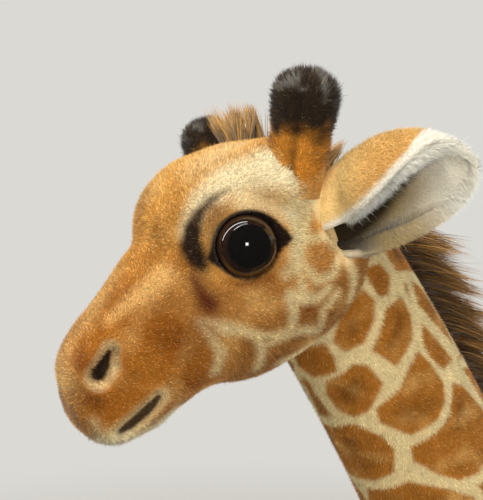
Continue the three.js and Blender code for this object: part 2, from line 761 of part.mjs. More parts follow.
const plush = (color) => new THREE.MeshStandardMaterial({ color, roughness: 0.95, metalness: 0 });
const materials = {
  body: plush('#b9792f'),
  horn: plush('#5d4024'),
  earBack: plush('#c98f49'),
  earLining: plush('#d9d0bb'),
  hair: plush('#5a3a1c'),
  hoof: plush('#3a2618'),
  lens: new THREE.MeshStandardMaterial({ color: '#1a1009', roughness: 0.05, metalness: 0 }),
  backing: new THREE.MeshStandardMaterial({ color: '#100b08', roughness: 0.4, metalness: 0 }),
  washer: new THREE.MeshStandardMaterial({ color: '#d8d5cc', roughness: 0.5, metalness: 0 }),
  wire: new THREE.MeshStandardMaterial({ color: '#8d9094', roughness: 0.4, metalness: 0.9 }),
};

const group = new THREE.Group();
group.add(headGroup);
function add(name, geometry, material, parent = group) {
  const mesh = new THREE.Mesh(geometry, materials[material]);
  mesh.name = name;
  parent.add(mesh);
}

const wireRadius = WIRE_DIAMETER / 2;
const channels = wires(wireRadius + SEAM_GAP, SEAM_GAP);
const torso = torsoForm();
const head = headForm();
const torsoRoom = grown(torso, SEAM_GAP);
const headRoom = grown(head, SEAM_GAP);
const headRoomInBody = moved(headRoom, headGroup.matrix);
const neck = neckForm();
const neckRoom = grown(neck, SEAM_GAP);
const tailRoom = ellipsoid(
  tailRoot,
  TAIL_ROOT_DIAMETER / 2 + TURN_GAP,
  TAIL_ROOT_DIAMETER / 2 + TURN_GAP,
  TAIL_ROOT_DIAMETER / 2 + TURN_GAP,
);

add('torso', cut(torso, tailRoom, ...channels), 'body');
add('neck', cut(neck, torsoRoom, headRoomInBody, channels[2]), 'body');
for (const [which, leg] of Object.entries(LEGS)) {
  for (const [sideName, side] of Object.entries(SIDES)) {
    const channel = channels[which === 'front' ? 0 : 1];
    add(`${which}_${sideName}_leg`, cut(legForm(leg, side), torsoRoom, neckRoom, channel), 'body');
    add(`${which}_${sideName}_hoof`, hoofForm(leg, side), 'hoof');
  }
}
add('wire_frame', joined(...wires(wireRadius, 0)), 'wire');

const rooms = [moved(channels[2], headInverse)];
const earRootRoom = moved(earRoot(EAR_ROOT_DIAMETER / 2 + TURN_GAP), earPlace);
const onSide = (geometry, side) => (side > 0 ? geometry : mirrorX(geometry));
for (const side of Object.values(SIDES)) rooms.push(moved(eyeRoom(), eyePlace(side)), onSide(earRootRoom, side));
add('head', cut(head, ...rooms), 'body', headGroup);
const ear = leftEar(grown(head, TURN_GAP));
for (const [sideName, side] of Object.entries(SIDES)) {
  add(`${sideName}_horn`, cut(hornForm(side), headRoom), 'horn', headGroup);
  add(`${sideName}_ear_back`, onSide(ear.back, side), 'earBack', headGroup);
  add(`${sideName}_ear_lining`, onSide(ear.lining, side), 'earLining', headGroup);
  add(`${sideName}_eye_lens`, moved(eyeLens(), eyePlace(side)), 'lens', headGroup);
  add(`${sideName}_eye_backing`, moved(eyeBacking(), eyePlace(side)), 'backing', headGroup);
  add(`${sideName}_eye_washer`, moved(eyeWasher(), eyePlace(side)), 'washer', headGroup);
}
add('forelock', cut(forelockForm(), headRoom), 'hair', headGroup);
add('mane', cut(maneForm(), neckRoom, headRoomInBody, torsoRoom), 'hair');
add('tail_cord', tailForm(), 'body');
add('tail_tuft', tuftForm(), 'hair');

// The origin goes under the middle of the outline.
group.updateMatrixWorld(true);
const outline = new THREE.Box3().setFromObject(group, true);
group.position.y = -(outline.min.y + outline.max.y) / 2;

export default group;
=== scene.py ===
# %% [markdown]
# # A plush giraffe, finished in Blender
#
# The toy is a stuffed giraffe of short velboa plush with airbrushed patches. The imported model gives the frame:
# where each sewn piece sits and which body it rides on. Every stuffed solid is dressed here with its own sewn skin,
# and the pile on the skin is made of real strands, because soft cut pile is what the eye reads as plush.

import json
import math

import bpy
import numpy as np
from mathutils import Matrix, Vector, kdtree

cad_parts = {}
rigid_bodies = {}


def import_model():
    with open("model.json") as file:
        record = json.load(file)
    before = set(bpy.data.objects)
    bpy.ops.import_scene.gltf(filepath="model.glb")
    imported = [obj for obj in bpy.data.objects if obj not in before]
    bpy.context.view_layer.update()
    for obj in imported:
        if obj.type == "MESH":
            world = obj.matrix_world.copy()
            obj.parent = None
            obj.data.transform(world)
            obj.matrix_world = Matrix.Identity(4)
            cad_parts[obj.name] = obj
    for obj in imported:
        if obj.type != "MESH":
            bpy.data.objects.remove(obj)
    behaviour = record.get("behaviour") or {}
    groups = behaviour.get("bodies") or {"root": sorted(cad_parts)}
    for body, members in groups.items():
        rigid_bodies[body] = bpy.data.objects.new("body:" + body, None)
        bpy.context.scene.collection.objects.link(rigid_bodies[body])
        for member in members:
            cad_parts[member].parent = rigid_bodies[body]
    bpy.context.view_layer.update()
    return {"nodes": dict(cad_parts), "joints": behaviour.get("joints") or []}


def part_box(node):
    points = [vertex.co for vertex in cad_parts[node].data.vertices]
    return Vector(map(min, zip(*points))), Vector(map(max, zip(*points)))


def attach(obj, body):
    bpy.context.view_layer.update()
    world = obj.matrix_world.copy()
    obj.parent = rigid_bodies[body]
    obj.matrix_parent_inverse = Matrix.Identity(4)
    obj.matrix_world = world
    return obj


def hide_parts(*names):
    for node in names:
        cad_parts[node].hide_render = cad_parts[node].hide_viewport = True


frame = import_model()
MM = 0.001
SIDES = {"left": 1, "right": -1}  # and the sign of x there
random = np.random.default_rng(31)

# The forms below are drawn in millimetres about the same point as the sewing plan. The chest's front lies at
# -71 on that plan, so the frame's torso says how far the plan is moved.
CHEST_Y = -71.0
plan_shift = np.array([0.0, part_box("torso")[0].y / MM - CHEST_Y, 0.0])
print("plan moved by", plan_shift.round(2), "mm")

# %% [markdown]
# ## Smooth forms from a few sections
#
# A stuffed piece swells and tapers between its seams. Its sections are few: a place, a half width, a height above
# and below. A smooth curve through each column gives as many rings as the finish needs, which is how a lofted
# pattern is checked before the fabric is cut. A rounded form could also come from a subdivided cage, but rings give
# a tidy map over the surface, and the pile and the markings both need that map.

# %% Curves and rings
def along(rows, places, column):
    """A column of a table, read at any places by a smooth curve."""
    rows = np.asarray(rows, float)
    x, y = rows[:, 0], rows[:, column]
    i = np.arange(len(x))
    before, after = np.maximum(i - 1, 0), np.minimum(i + 1, len(x) - 1)
    slope = (y[after] - y[before]) / (x[after] - x[before])
    k = np.clip(np.searchsorted(x, places), 1, len(x) - 1)
    span = x[k] - x[k - 1]
    s = np.clip((places - x[k - 1]) / span, 0, 1)
    curve = y[k - 1] * (2 * s**3 - 3 * s**2 + 1) + y[k] * (3 * s**2 - 2 * s**3)
    return curve + span * (slope[k - 1] * (s**3 - 2 * s**2 + s) + slope[k] * (s**3 - s**2))


LEFTWARD, BACKWARD, UPWARD = (1.0, 0, 0), (0, 1.0, 0), (0, 0, 1.0)


def rings(centres, across, up, half, top, bottom, fullness, around):
    """Rings of a stuffed form, from its underside round by its left, top and right."""
    across, up = (np.broadcast_to(direction, centres.shape) for direction in (across, up))
    turn = 2 * np.pi * (np.arange(around) + 0.5) / around - np.pi / 2
    c, s = np.cos(turn)[None, :], np.sin(turn)[None, :]
    power = 2 / np.broadcast_to(fullness, len(centres))[:, None]
    side = np.sign(c) * np.abs(c) ** power * half[:, None]
    rise = np.sign(s) * np.abs(s) ** power * np.where(s > 0, top[:, None], bottom[:, None])
    return centres[:, None] + side[..., None] * across[:, None] + rise[..., None] * up[:, None]


def tube(centres, across, up, radius, around):
    """Rings of a round piece."""
    return rings(centres, across, up, radius, radius, radius, 2.0, around)


def round_ends(place, first, last):
    """The share of its size that a form has where it shuts to a round end, before and past its sections."""
    return np.sqrt(np.clip(place / first, 0, 1) * np.clip((1 - place) / (1 - last), 0, 1))


def unit(vectors):
    return vectors / (np.linalg.norm(vectors, axis=-1, keepdims=True) + 1e-12)


def normals_of(grid):
    """Outward normals of a grid of rings."""
    area = np.cross(np.roll(grid, -1, 1) - np.roll(grid, 1, 1), np.gradient(grid, axis=0))
    outward = (area * (grid - grid.mean((0, 1)))).sum() > 0
    return unit(area if outward else -area)


def smoothstep(low, high, value):
    s = np.clip((value - low) / (high - low), 0, 1)
    return s * s * (3 - 2 * s)


def ends_spread(count, edge=0.012):
    """Places from 0 to 1 that crowd toward both ends, where a form rounds off."""
    return (1 - np.cos(np.pi * np.linspace(edge, 1 - edge, count))) / 2

# %% [markdown]
# ## Neck and head
#
# The neck leans forward, more so under the skull, and swells into the shoulders. The head is one stuffed wedge from
# the blunt nose over the bridge to the full skull, and it points down at the end of the neck.

# %% The neck's middle line and size
NECK_LENGTH = 186.0
NECK_LEAN = (27.0, 37.0)  # degrees from upright, at the chest and under the skull
NECK_ROOT = (0.0, -34.0, 196.0)
NECK_TOP_SIZE = (36.0, 46.0)  # across, and front to back
NECK_BASE_SIZE = (48.0, 64.0)
NECK_FULLNESS = 2.05
neck_swell = [  # place, half width, front, behind: shares from the top's size to the base's
    [0, 0.9, 0.86, 0.8],
    [0.12, 1, 0.96, 1],
    [0.3, 0.72, 0.62, 0.8],
    [0.5, 0.44, 0.3, 0.6],
    [0.75, 0.16, 0.08, 0.34],
    [1, 0, 0, 0],
]
line_place = np.linspace(0, 1, 1201)
line_lean = np.radians(np.interp(line_place, [0, 1], NECK_LEAN))
line_step = NECK_LENGTH / (len(line_place) - 1)
line_y = NECK_ROOT[1] - np.concatenate([[0], np.cumsum(np.sin(line_lean[1:]) * line_step)])
line_z = NECK_ROOT[2] + np.concatenate([[0], np.cumsum(np.cos(line_lean[1:]) * line_step)])


def neck_middle(place):
    return np.stack([0 * place, np.interp(place, line_place, line_y), np.interp(place, line_place, line_z)], -1)


def neck_up(place):
    """Square to the neck's line, toward the mane."""
    lean = np.radians(np.interp(place, [0, 1], NECK_LEAN))
    return np.stack([0 * lean, np.cos(lean), np.sin(lean)], -1)


def neck_size(place):
    """Half width, and the reach behind and in front of the middle line."""
    def size(column, axis):
        swell = along(neck_swell, place, column)
        return (NECK_TOP_SIZE[axis] + (NECK_BASE_SIZE[axis] - NECK_TOP_SIZE[axis]) * swell) / 2
    return size(1, 0), size(3, 1), size(2, 1)

# %% The head's own frame: x to the left, y back from the nose along the muzzle, z square to it
HEAD_LENGTH, HEAD_WIDTH, HEAD_HEIGHT = 95.0, 50.0, 60.0
HEAD_PITCH = math.radians(31)
NECK_END_IN_HEAD = np.array([0, 0.863 * HEAD_LENGTH, -0.208 * HEAD_HEIGHT])
head_sections = [  # place, half width, top, bottom, fullness
    [0.006, 0.13, -0.045, -0.225, 2.2],
    [0.028, 0.185, 0.045, -0.295, 2.3],
    [0.065, 0.235, 0.105, -0.35, 2.4],
    [0.12, 0.27, 0.155, -0.392, 2.5],
    [0.185, 0.286, 0.197, -0.4, 2.5],
    [0.255, 0.292, 0.243, -0.378, 2.4],
    [0.32, 0.306, 0.28, -0.368, 2.3],
    [0.38, 0.34, 0.32, -0.388, 2.3],
    [0.43, 0.39, 0.4, -0.43, 2.35],
    [0.495, 0.445, 0.488, -0.46, 2.4],
    [0.57, 0.478, 0.535, -0.473, 2.4],
    [0.645, 0.484, 0.53, -0.483, 2.3],
    [0.715, 0.5, 0.517, -0.483, 2.3],
    [0.79, 0.5, 0.48, -0.467, 2.3],
    [0.865, 0.47, 0.417, -0.417, 2.2],
    [0.93, 0.39, 0.31, -0.32, 2.1],
    [0.98, 0.25, 0.17, -0.19, 2],
]
pitch_cos, pitch_sin = math.cos(HEAD_PITCH), math.sin(HEAD_PITCH)
head_turn = np.array([[1, 0, 0], [0, pitch_cos, -pitch_sin], [0, pitch_sin, pitch_cos]])
nose_tip = neck_middle(np.array([1.0]))[0] + plan_shift - head_turn @ NECK_END_IN_HEAD


def head_to_toy(points):
    return points @ head_turn.T + nose_tip


def toy_to_head(points):
    return (points - nose_tip) @ head_turn


def head_size(place):
    """Half width, middle height, half height and fullness, shut to a round end at nose and nape."""
    first, last = head_sections[0][0], head_sections[-1][0]
    t = np.clip(place, first, last)
    half, top, bottom, full = (along(head_sections, t, column) for column in range(1, 5))
    shut = round_ends(place, first, last)
    top, bottom = top * HEAD_HEIGHT, bottom * HEAD_HEIGHT
    return half * HEAD_WIDTH * shut, (top + bottom) / 2, (top - bottom) / 2 * shut, full


OUTSIDE = 9.0  # the depth that is given to points past a form's ends


def depth_in_head(points):
    """Under 1 inside the head's form, over 1 outside, for points of the toy."""
    p = toy_to_head(points)
    place = np.clip(p[:, 1] / HEAD_LENGTH, 0.001, 0.999)
    half, middle, tall, full = head_size(place)
    depth = np.abs(p[:, 0] / half) ** full + np.abs((p[:, 2] - middle) / tall) ** full
    return np.where((p[:, 1] < 0) | (p[:, 1] > HEAD_LENGTH), OUTSIDE, depth)


print("nose tip at", nose_tip.round(2), "mm")

# %% [markdown]
# ## Camera
#
# The photograph is a close-up of the head from the toy's left, a little from the front and from just below. Its lens
# is found from the eye: a 15 mm eye that spans 62 pixels of a 500 pixel frame. The camera is rolled a little, as a
# hand-held picture is.

# %% Make the camera
PHOTO_HEIGHT = 500.0
FOCAL_PIXELS = 625.0
SENSOR = 36.0
camera_turn, camera_rise, camera_roll = math.radians(62), math.radians(-3), math.radians(1.5)
CAMERA_DISTANCE = 150.0
AIM_IN_HEAD = np.array([22.0, 52.5, 8.0])  # the near eye
AIM_OFFSET_PIXELS = (6.5, -5.0)  # where the eye lies from the middle of the frame, right and down

back = np.array([
    math.sin(camera_turn) * math.cos(camera_rise),
    -math.cos(camera_turn) * math.cos(camera_rise),
    math.sin(camera_rise),
])
level_right = np.array([math.cos(camera_turn), math.sin(camera_turn), 0])
level_up = np.cross(back, level_right)
right = math.cos(camera_roll) * level_right + math.sin(camera_roll) * level_up
up = -math.sin(camera_roll) * level_right + math.cos(camera_roll) * level_up
per_pixel = CAMERA_DISTANCE / FOCAL_PIXELS
camera_place = head_to_toy(AIM_IN_HEAD) + back * CAMERA_DISTANCE
camera_place -= right * AIM_OFFSET_PIXELS[0] * per_pixel - up * AIM_OFFSET_PIXELS[1] * per_pixel

camera_data = bpy.data.cameras.new("camera")
camera_data.sensor_width = camera_data.sensor_height = SENSOR
camera_data.lens = SENSOR * FOCAL_PIXELS / PHOTO_HEIGHT
camera_data.clip_start = 0.01


def put(name, data, axes=None, place=(0, 0, 0)):
    """An object in the scene, turned to three axes of its own and stood at a place in metres."""
    made = bpy.data.objects.new(name, data)
    bpy.context.scene.collection.objects.link(made)
    if axes is not None:
        stand = np.eye(4)
        stand[:3, :3], stand[:3, 3] = np.stack(axes, 1), place
        made.matrix_world = Matrix(stand.tolist())
    return made


bpy.context.scene.camera = put("camera", camera_data, (right, up, back), camera_place * MM)
print("camera at", camera_place.round(1), "mm, lens", camera_data.lens)

# %% [markdown]
# ## Sculpting the face
#
# The real face gets its shape from darts and from stitches that are pulled through the fill: they sink the eyes,
# draw the mouth and pinch the nostrils. Here each of those is a line on the skin with a reach and a height, and the
# skin moves in or out near it. Sculpt brushes would do the same by hand, but lines with numbers can be matched to
# the photograph and mirrored to the other cheek.

# %% Brushed lines
def distance_to_line(points, line):
    """Least distance to a line of points, less the radius that each point of it has."""
    line = np.atleast_2d(np.array(line, float))
    start, end = (line[:-1], line[1:]) if len(line) > 1 else (line, line)
    nearest = np.full(len(points), np.inf)
    for a, b in zip(start, end):
        step = b[:3] - a[:3]
        t = np.clip((points - a[:3]) @ step / max(step @ step, 1e-9), 0, 1)
        gap = np.linalg.norm(points - a[:3] - t[:, None] * step, axis=1)
        nearest = np.minimum(nearest, gap - a[3] - t * (b[3] - a[3]))
    return nearest


def brushed(points, line, soft):
    """1 on a brushed line, falling to 0 over its soft edge."""
    return 1 - smoothstep(-soft / 2, soft / 2, distance_to_line(points, line))


SUNK_WAY, SUNK_STEP = np.array([-0.92, 0.12, 0, 0]), 0.8  # inward through a cheek, in millimetres


def brushed_through(points, line, soft, sunk):
    """The same for a line whose skin has sunk: it is also drawn at points further in."""
    levels = np.linspace(0, sunk, 1 + math.ceil(sunk / SUNK_STEP))
    return np.max([brushed(points, np.array(line, float) + SUNK_WAY * level, soft) for level in levels], axis=0)


def own_side(points, vectors):
    """Vectors given for the left side, mirrored for the points that lie on the right."""
    return vectors * np.where(points[:, :1] < 0, [[-1, 1, 1]], [[1, 1, 1]])


def near_side(points):
    """Both sides of the toy read the same lines, which lie on the left."""
    return own_side(points, points)


# Lines of (left, back, up, radius) in the head's frame
brow_line = [(17.5, 48, 21.5, 1), (19, 56, 22.5, 1), (20.5, 64, 20, 1), (23, 70, 14, 1)]
lid_crease = [(20.5, 54, 21.3, 0.5), (19.2, 50.3, 21, 1.2), (18.2, 46.8, 19.6, 1.7), (17.4, 43.7, 16.7, 2.5),
              (17.3, 41.6, 13.5, 3.3), (18, 41.2, 10.8, 2.8), (18.8, 41.2, 8.9, 1.5)]
nostril_line = [(12.8, 13.2, 1.2, 0.8), (12.8, 11, -0.6, 1.6), (12.3, 8.8, -1.9, 1.9)]
mouth_line = [(10.2, 7, -16.6, 0.9), (11.4, 9, -16.3, 1.4), (12.6, 12.2, -15.7, 1.4), (13.2, 15, -15.1, 1.3),
              (13.6, 17.8, -14.1, 0.9)]
lip_line = [(9, 7, -19, 1), (11.5, 13, -19, 1.2), (13.5, 18.5, -17, 1)]
bridge_pit = [(8.5, 34, 16, 1)]
horn_mound = [(20, 66, 20, 4), (21.5, 74, 20, 4.5)]
bridge_line = [(0, 8, 5, 3), (0, 20, 12, 4), (0, 30, 16, 4)]
nose_line = [(0, 1, -8, 4), (6, 2, -9, 4)]
under_nose_line = [(0, 2, -15, 2), (6, 3.5, -15, 2)]
chin_line = [(0, 14, -23, 3), (6, 16, -22, 3)]
chin_front_line = [(0, 2.5, -17.5, 2), (5, 8.5, -21.5, 2)]
forehead_line = [(0, 33, 18, 2), (0, 42, 24, 2)]
ear_hollow = [(25, 76.5, 2.5, 0.8), (25, 76.5, -3.5, 0.8)]
face_shapes = [  # line, reach from it and height of the skin's move, in millimetres
    (brow_line, 5, 1.1),
    (lid_crease, 3, -0.9),
    (nostril_line, 1.3, -3.2),
    (nostril_line, 4.4, 0.8),
    (mouth_line, 1.0, -1.9),
    (mouth_line, 3.6, 0.7),
    (lip_line, 2.4, 0.3),
    (under_nose_line, 6, 1.4),
    (chin_line, 6, -1.1),
    (bridge_pit, 5, -0.8),
    (horn_mound, 6, 4.2),
    (bridge_line, 7, -1.7),
    (nose_line, 6, -1.2),
    (chin_front_line, 5, -0.7),
    (forehead_line, 7, 1.7),
    (ear_hollow, 2.8, -2.6),
]

# %% The eye's own frame
EYE_IN_HEAD = np.array([20.4, 52.535, 7.98])
EYE_TURN, EYE_TILT = math.radians(18), math.radians(4)
EYE_RADIUS = 7.5
eye_out = np.array([
    math.cos(EYE_TURN) * math.cos(EYE_TILT),
    -math.sin(EYE_TURN) * math.cos(EYE_TILT),
    math.sin(EYE_TILT),
])
eye_up = unit(np.array([0, 0, 1.0]) - eye_out * eye_out[2])
eye_back = np.cross(eye_up, eye_out)


def around_eye(points):
    """Distance from the eye's axis, height over its seat, and the turn about it from the head's back upward."""
    p = near_side(points) - EYE_IN_HEAD
    side, rise = p @ eye_back, p @ eye_up
    return np.hypot(side, rise), p @ eye_out, np.degrees(np.arctan2(rise, side)) % 360

# %% The head's skin, with its eye seats
head_rows, head_around = 240, 300
head_places = ends_spread(head_rows)
half, middle, tall, full = head_size(head_places)
head_grid = rings(
    np.stack([0 * half, head_places * HEAD_LENGTH, middle], 1),
    LEFTWARD, UPWARD, half, tall, tall, full, head_around,
)
SEAT_DEPTH, LID_HEIGHT = -1.4, 2.9  # past the plane of the eye's seat
LID_SWELL, LID_SWELL_TURN = 0.7, 30.0  # how much the lid rises and falls round the eye, and from which degree
SEAT_WALL = (7.1, 8.3)  # from the eye's axis
LID_FULL, LID_REACH = 9.2, 14.5
CHEEK_START = 6.0  # nearer the middle plane than this, no skin belongs to an eye


def on_cheek(points):
    return np.abs(points[:, 0]) > CHEEK_START


def sculpt_head(grid):
    """The skin moved by the face's lines, and at each eye let down into a seat inside a raised lid."""
    normals = normals_of(grid)
    points, out = near_side(grid.reshape(-1, 3)), normals.reshape(-1, 3)
    flat = grid.reshape(-1, 3).copy()
    for line, reach, height in face_shapes:
        gap = np.maximum(distance_to_line(points, line), 0)
        flat += out * (height * np.exp(-(gap / reach) ** 2))[:, None]
    wide, high, turn = around_eye(flat)
    lid = LID_HEIGHT + LID_SWELL * np.sin(np.radians(turn - LID_SWELL_TURN))
    shaped = SEAT_DEPTH + (lid - SEAT_DEPTH) * smoothstep(*SEAT_WALL, wide)
    share = (1 - smoothstep(LID_FULL, LID_REACH, wide)) * on_cheek(flat)
    flat += own_side(flat, eye_out) * ((shaped - high) * share)[:, None]
    return flat.reshape(grid.shape)


head_grid = sculpt_head(head_grid)
print("head skin", head_grid.shape[0], "x", head_grid.shape[1], "points")

# %% [markdown]
# ## Body, legs, horns, ears and tail
#
# The other skins are lofts too. The legs hang from the torso's sides, the thighs fuller than the shanks, and each
# ends in a soft hoof with a cleft. The ears are two sheets rolled into a cup.

# %% Torso
TORSO_LENGTH, TORSO_WIDTH, TORSO_HEIGHT = 148.0, 60.0, 72.0
TORSO_MIDDLE_Z, TORSO_SLOPE = 186.0, 14.0
torso_sections = [  # place from chest to rump, half width, half height above and below
    [0.03, 0.15, 0.16, 0.16],
    [0.1, 0.3, 0.3, 0.34],
    [0.2, 0.42, 0.42, 0.48],
    [0.32, 0.48, 0.5, 0.52],
    [0.46, 0.5, 0.49, 0.49],
    [0.62, 0.5, 0.47, 0.46],
    [0.77, 0.48, 0.46, 0.43],
    [0.88, 0.4, 0.38, 0.35],
    [0.95, 0.28, 0.26, 0.24],
    [0.99, 0.12, 0.12, 0.11],
]
TORSO_FULLNESS = 2.2
torso_rows, torso_around = 130, 150
torso_places = ends_spread(torso_rows, 0.03)


def torso_middle(place):
    height = TORSO_MIDDLE_Z + TORSO_SLOPE * (0.5 - place)
    return np.stack([0 * place, CHEST_Y + place * TORSO_LENGTH, height], -1) + plan_shift


def torso_size(place):
    """Half width, and the reach above and below the middle line."""
    first, last = torso_sections[0][0], torso_sections[-1][0]
    half, top, bottom = (along(torso_sections, np.clip(place, first, last), column) for column in (1, 2, 3))
    shut = round_ends(place, first, last)
    return half * TORSO_WIDTH * shut, top * TORSO_HEIGHT * shut, bottom * TORSO_HEIGHT * shut


torso_grid = rings(torso_middle(torso_places), LEFTWARD, UPWARD, *torso_size(torso_places), TORSO_FULLNESS,
                   torso_around)


def depth_in_torso(points):
    """Under 1 inside the torso, over 1 outside."""
    place = (points[:, 1] - plan_shift[1] - CHEST_Y) / TORSO_LENGTH
    inside = np.clip(place, 0.002, 0.998)
    half, top, bottom = torso_size(inside)
    rise = points[:, 2] - torso_middle(inside)[:, 2]
    rise = rise / np.where(rise > 0, top, bottom)
    depth = np.abs(points[:, 0] / half) ** TORSO_FULLNESS + np.abs(rise) ** TORSO_FULLNESS
    return np.where((place < 0) | (place > 1), OUTSIDE, depth)

# %% Neck
neck_rows, neck_around = 200, 200
neck_places = np.linspace(0.02, 1, neck_rows)
half, behind, front = neck_size(neck_places)
neck_grid = rings(neck_middle(neck_places) + plan_shift, LEFTWARD, neck_up(neck_places), half, behind, front,
                  NECK_FULLNESS, neck_around)


def neck_coordinates(points):
    """Place up the neck, and the turn in degrees from the mane's line, 0, to the throat, 180."""
    plan = points - plan_shift
    place = np.full(len(points), 0.5)
    for _ in range(6):
        lean = np.radians(np.interp(place, [0, 1], NECK_LEAN))
        ahead = np.stack([0 * lean, -np.sin(lean), np.cos(lean)], 1)
        place = np.clip(place + ((plan - neck_middle(place)) * ahead).sum(1) / NECK_LENGTH, 0, 1)
    arm = plan - neck_middle(place)
    return place, np.degrees(np.arctan2(np.abs(arm[:, 0]), (arm * neck_up(place)).sum(1)))


def depth_in_neck(points):
    place, _ = neck_coordinates(points)
    arm = points - plan_shift - neck_middle(place)
    half, behind, front = neck_size(place)
    rise = (arm * neck_up(place)).sum(1)
    return np.hypot(arm[:, 0] / half, rise / np.where(rise > 0, behind, front))

# %% Legs and hooves
FRONT_LEG_Y, REAR_LEG_Y, LEG_X = -44.0, 50.0, 20.0
HOOF_HEIGHT, HOOF_WIDTH, HOOF_LENGTH = 15.0, 20.0, 24.0
LEG_BOTTOM_Z = HOOF_HEIGHT + 0.3
LEG_TOP_Z = TORSO_MIDDLE_Z
LEG_END = 1.075  # where a leg is shut inside the torso, as a share of its height
leg_sections = {  # up from the hoof, 0, to the torso's middle, 1: place, set back, half width and half depth in mm
    "front": [
        [0, 0, 8.84, 10.08], [0.05, 0.02, 9.01, 10.44], [0.1, 0.02, 8.16, 9], [0.2, 0, 7.31, 7.92],
        [0.33, -0.02, 7.82, 8.28], [0.42, -0.06, 9.35, 10.44], [0.49, -0.02, 9.18, 10.08],
        [0.58, 0.02, 9.52, 11.16], [0.72, 0, 11.04, 16.8], [0.82, 0, 12.48, 20], [0.92, 0, 11.52, 20],
        [1, 0.02, 8.64, 16.8], [1.06, 0.03, 4.8, 10.4],
    ],
    "rear": [
        [0, 6, 8.84, 10.08], [0.05, 6, 9.01, 10.44], [0.1, 6.12, 8.16, 9], [0.2, 6.24, 7.31, 8.1],
        [0.33, 6.36, 7.99, 9], [0.42, 6.12, 9.52, 11.52], [0.49, 4.8, 9.52, 11.88], [0.58, 2.7, 10.2, 14.4],
        [0.72, 0, 11.04, 20.16], [0.82, 0, 12.48, 24], [0.92, 0, 11.52, 24], [1, 0.12, 8.64, 20.16],
        [1.06, 0.18, 4.8, 12.48],
    ],
}
leg_y = {"front": FRONT_LEG_Y, "rear": REAR_LEG_Y}
leg_rows, leg_around = 130, 72
leg_places = LEG_END * (1 - (1 - np.linspace(0, 1, leg_rows)) ** 1.15)  # a little closer together at the top


def leg_grid(which, side):
    rows = leg_sections[which]
    last, shut_at = rows[-1][0], LEG_END + 0.002
    t = np.minimum(leg_places, last)
    shut = np.sqrt(np.clip((shut_at - leg_places) / (shut_at - last), 0, 1))
    height = LEG_BOTTOM_Z + leg_places * (LEG_TOP_Z - LEG_BOTTOM_Z)
    centres = np.stack([np.full(leg_rows, side * LEG_X), leg_y[which] + along(rows, t, 1), height], 1) + plan_shift
    depth = along(rows, t, 3) * shut
    return rings(centres, LEFTWARD, BACKWARD, along(rows, t, 2) * shut, depth, depth, 2.0, leg_around)


hoof_sections = [[0, 0.86], [0.14, 1], [0.5, 0.94], [0.86, 0.84], [1, 0.76]]  # place, share of the hoof's size
hoof_rows, hoof_around, HOOF_FULLNESS = 26, 96, 2.3
CLEFT_HALF_WIDTH, CLEFT_DEPTH = 0.9, 3.2
CLOSING_SHARES = (0.02, 0.35, 0.7, 0.93)  # sizes of the rings that draw in to close the sole and the top


def hoof_grid(which, side):
    rise = np.linspace(0, 1, hoof_rows)
    spread = along(hoof_sections, rise, 1)
    _, set_back, _, half_depth = leg_sections[which][0]
    toe = (HOOF_LENGTH - 2 * half_depth) / 2
    back_and_forth = leg_y[which] + set_back - toe * (1 - rise)
    centres = np.stack([np.full(hoof_rows, side * LEG_X), back_and_forth, rise * HOOF_HEIGHT], 1) + plan_shift
    length = spread * HOOF_LENGTH / 2
    grid = rings(centres, LEFTWARD, BACKWARD, spread * HOOF_WIDTH / 2, length, length, HOOF_FULLNESS, hoof_around)
    ahead = grid[..., 1] < centres[:, None, 1]
    gap = np.abs(grid[..., 0] - side * LEG_X)
    grid[..., 1] += np.where(ahead, CLEFT_DEPTH * np.exp(-(gap / CLEFT_HALF_WIDTH) ** 2), 0)
    sole = [centres[0] + (grid[0] - centres[0]) * share for share in CLOSING_SHARES]
    crown = [centres[-1] + (grid[-1] - centres[-1]) * share for share in reversed(CLOSING_SHARES)]
    return np.concatenate([np.array(sole), grid, np.array(crown)])

# %% Horns
HORN_LENGTH, HORN_DIAMETER = 30.0, 15.0
HORN_SPLAY, HORN_RAKE = math.radians(21), math.radians(25)
HORN_IN_HEAD = np.array([0.82 * HEAD_WIDTH / 2, 0.747 * HEAD_LENGTH, 0.217 * HEAD_HEIGHT])
horn_sections = [  # place, share of the diameter
    [0, 0.48], [0.16, 0.48], [0.34, 0.475], [0.52, 0.48], [0.7, 0.5], [0.84, 0.48], [0.93, 0.38], [0.98, 0.2],
]
DARK_TOP_SEAM, DARK_TOP_SEAM_SHARE = 0.52, 0.05  # its place up the horn, and how much it draws in
HORN_SEAM, HORN_SEAM_HALF_WIDTH, HORN_SEAM_DEPTH = -52.0, 9.0, 0.7  # degrees round the horn, and millimetres
horn_axis = np.array([
    math.sin(HORN_SPLAY) * math.cos(HORN_RAKE),
    math.sin(HORN_RAKE),
    math.cos(HORN_SPLAY) * math.cos(HORN_RAKE),
])
horn_across = unit(np.cross([0, 1, 0], horn_axis))
horn_up = np.cross(horn_axis, horn_across)
horn_rows, horn_around = 60, 72


def on_horn_seam(points):
    """1 on the sewn seam that runs up the outer front of a horn, for points of the head."""
    arm = near_side(points) - HORN_IN_HEAD
    turn = np.degrees(np.arctan2(arm @ horn_up, arm @ horn_across))
    return np.exp(-((turn - HORN_SEAM) / HORN_SEAM_HALF_WIDTH) ** 2)


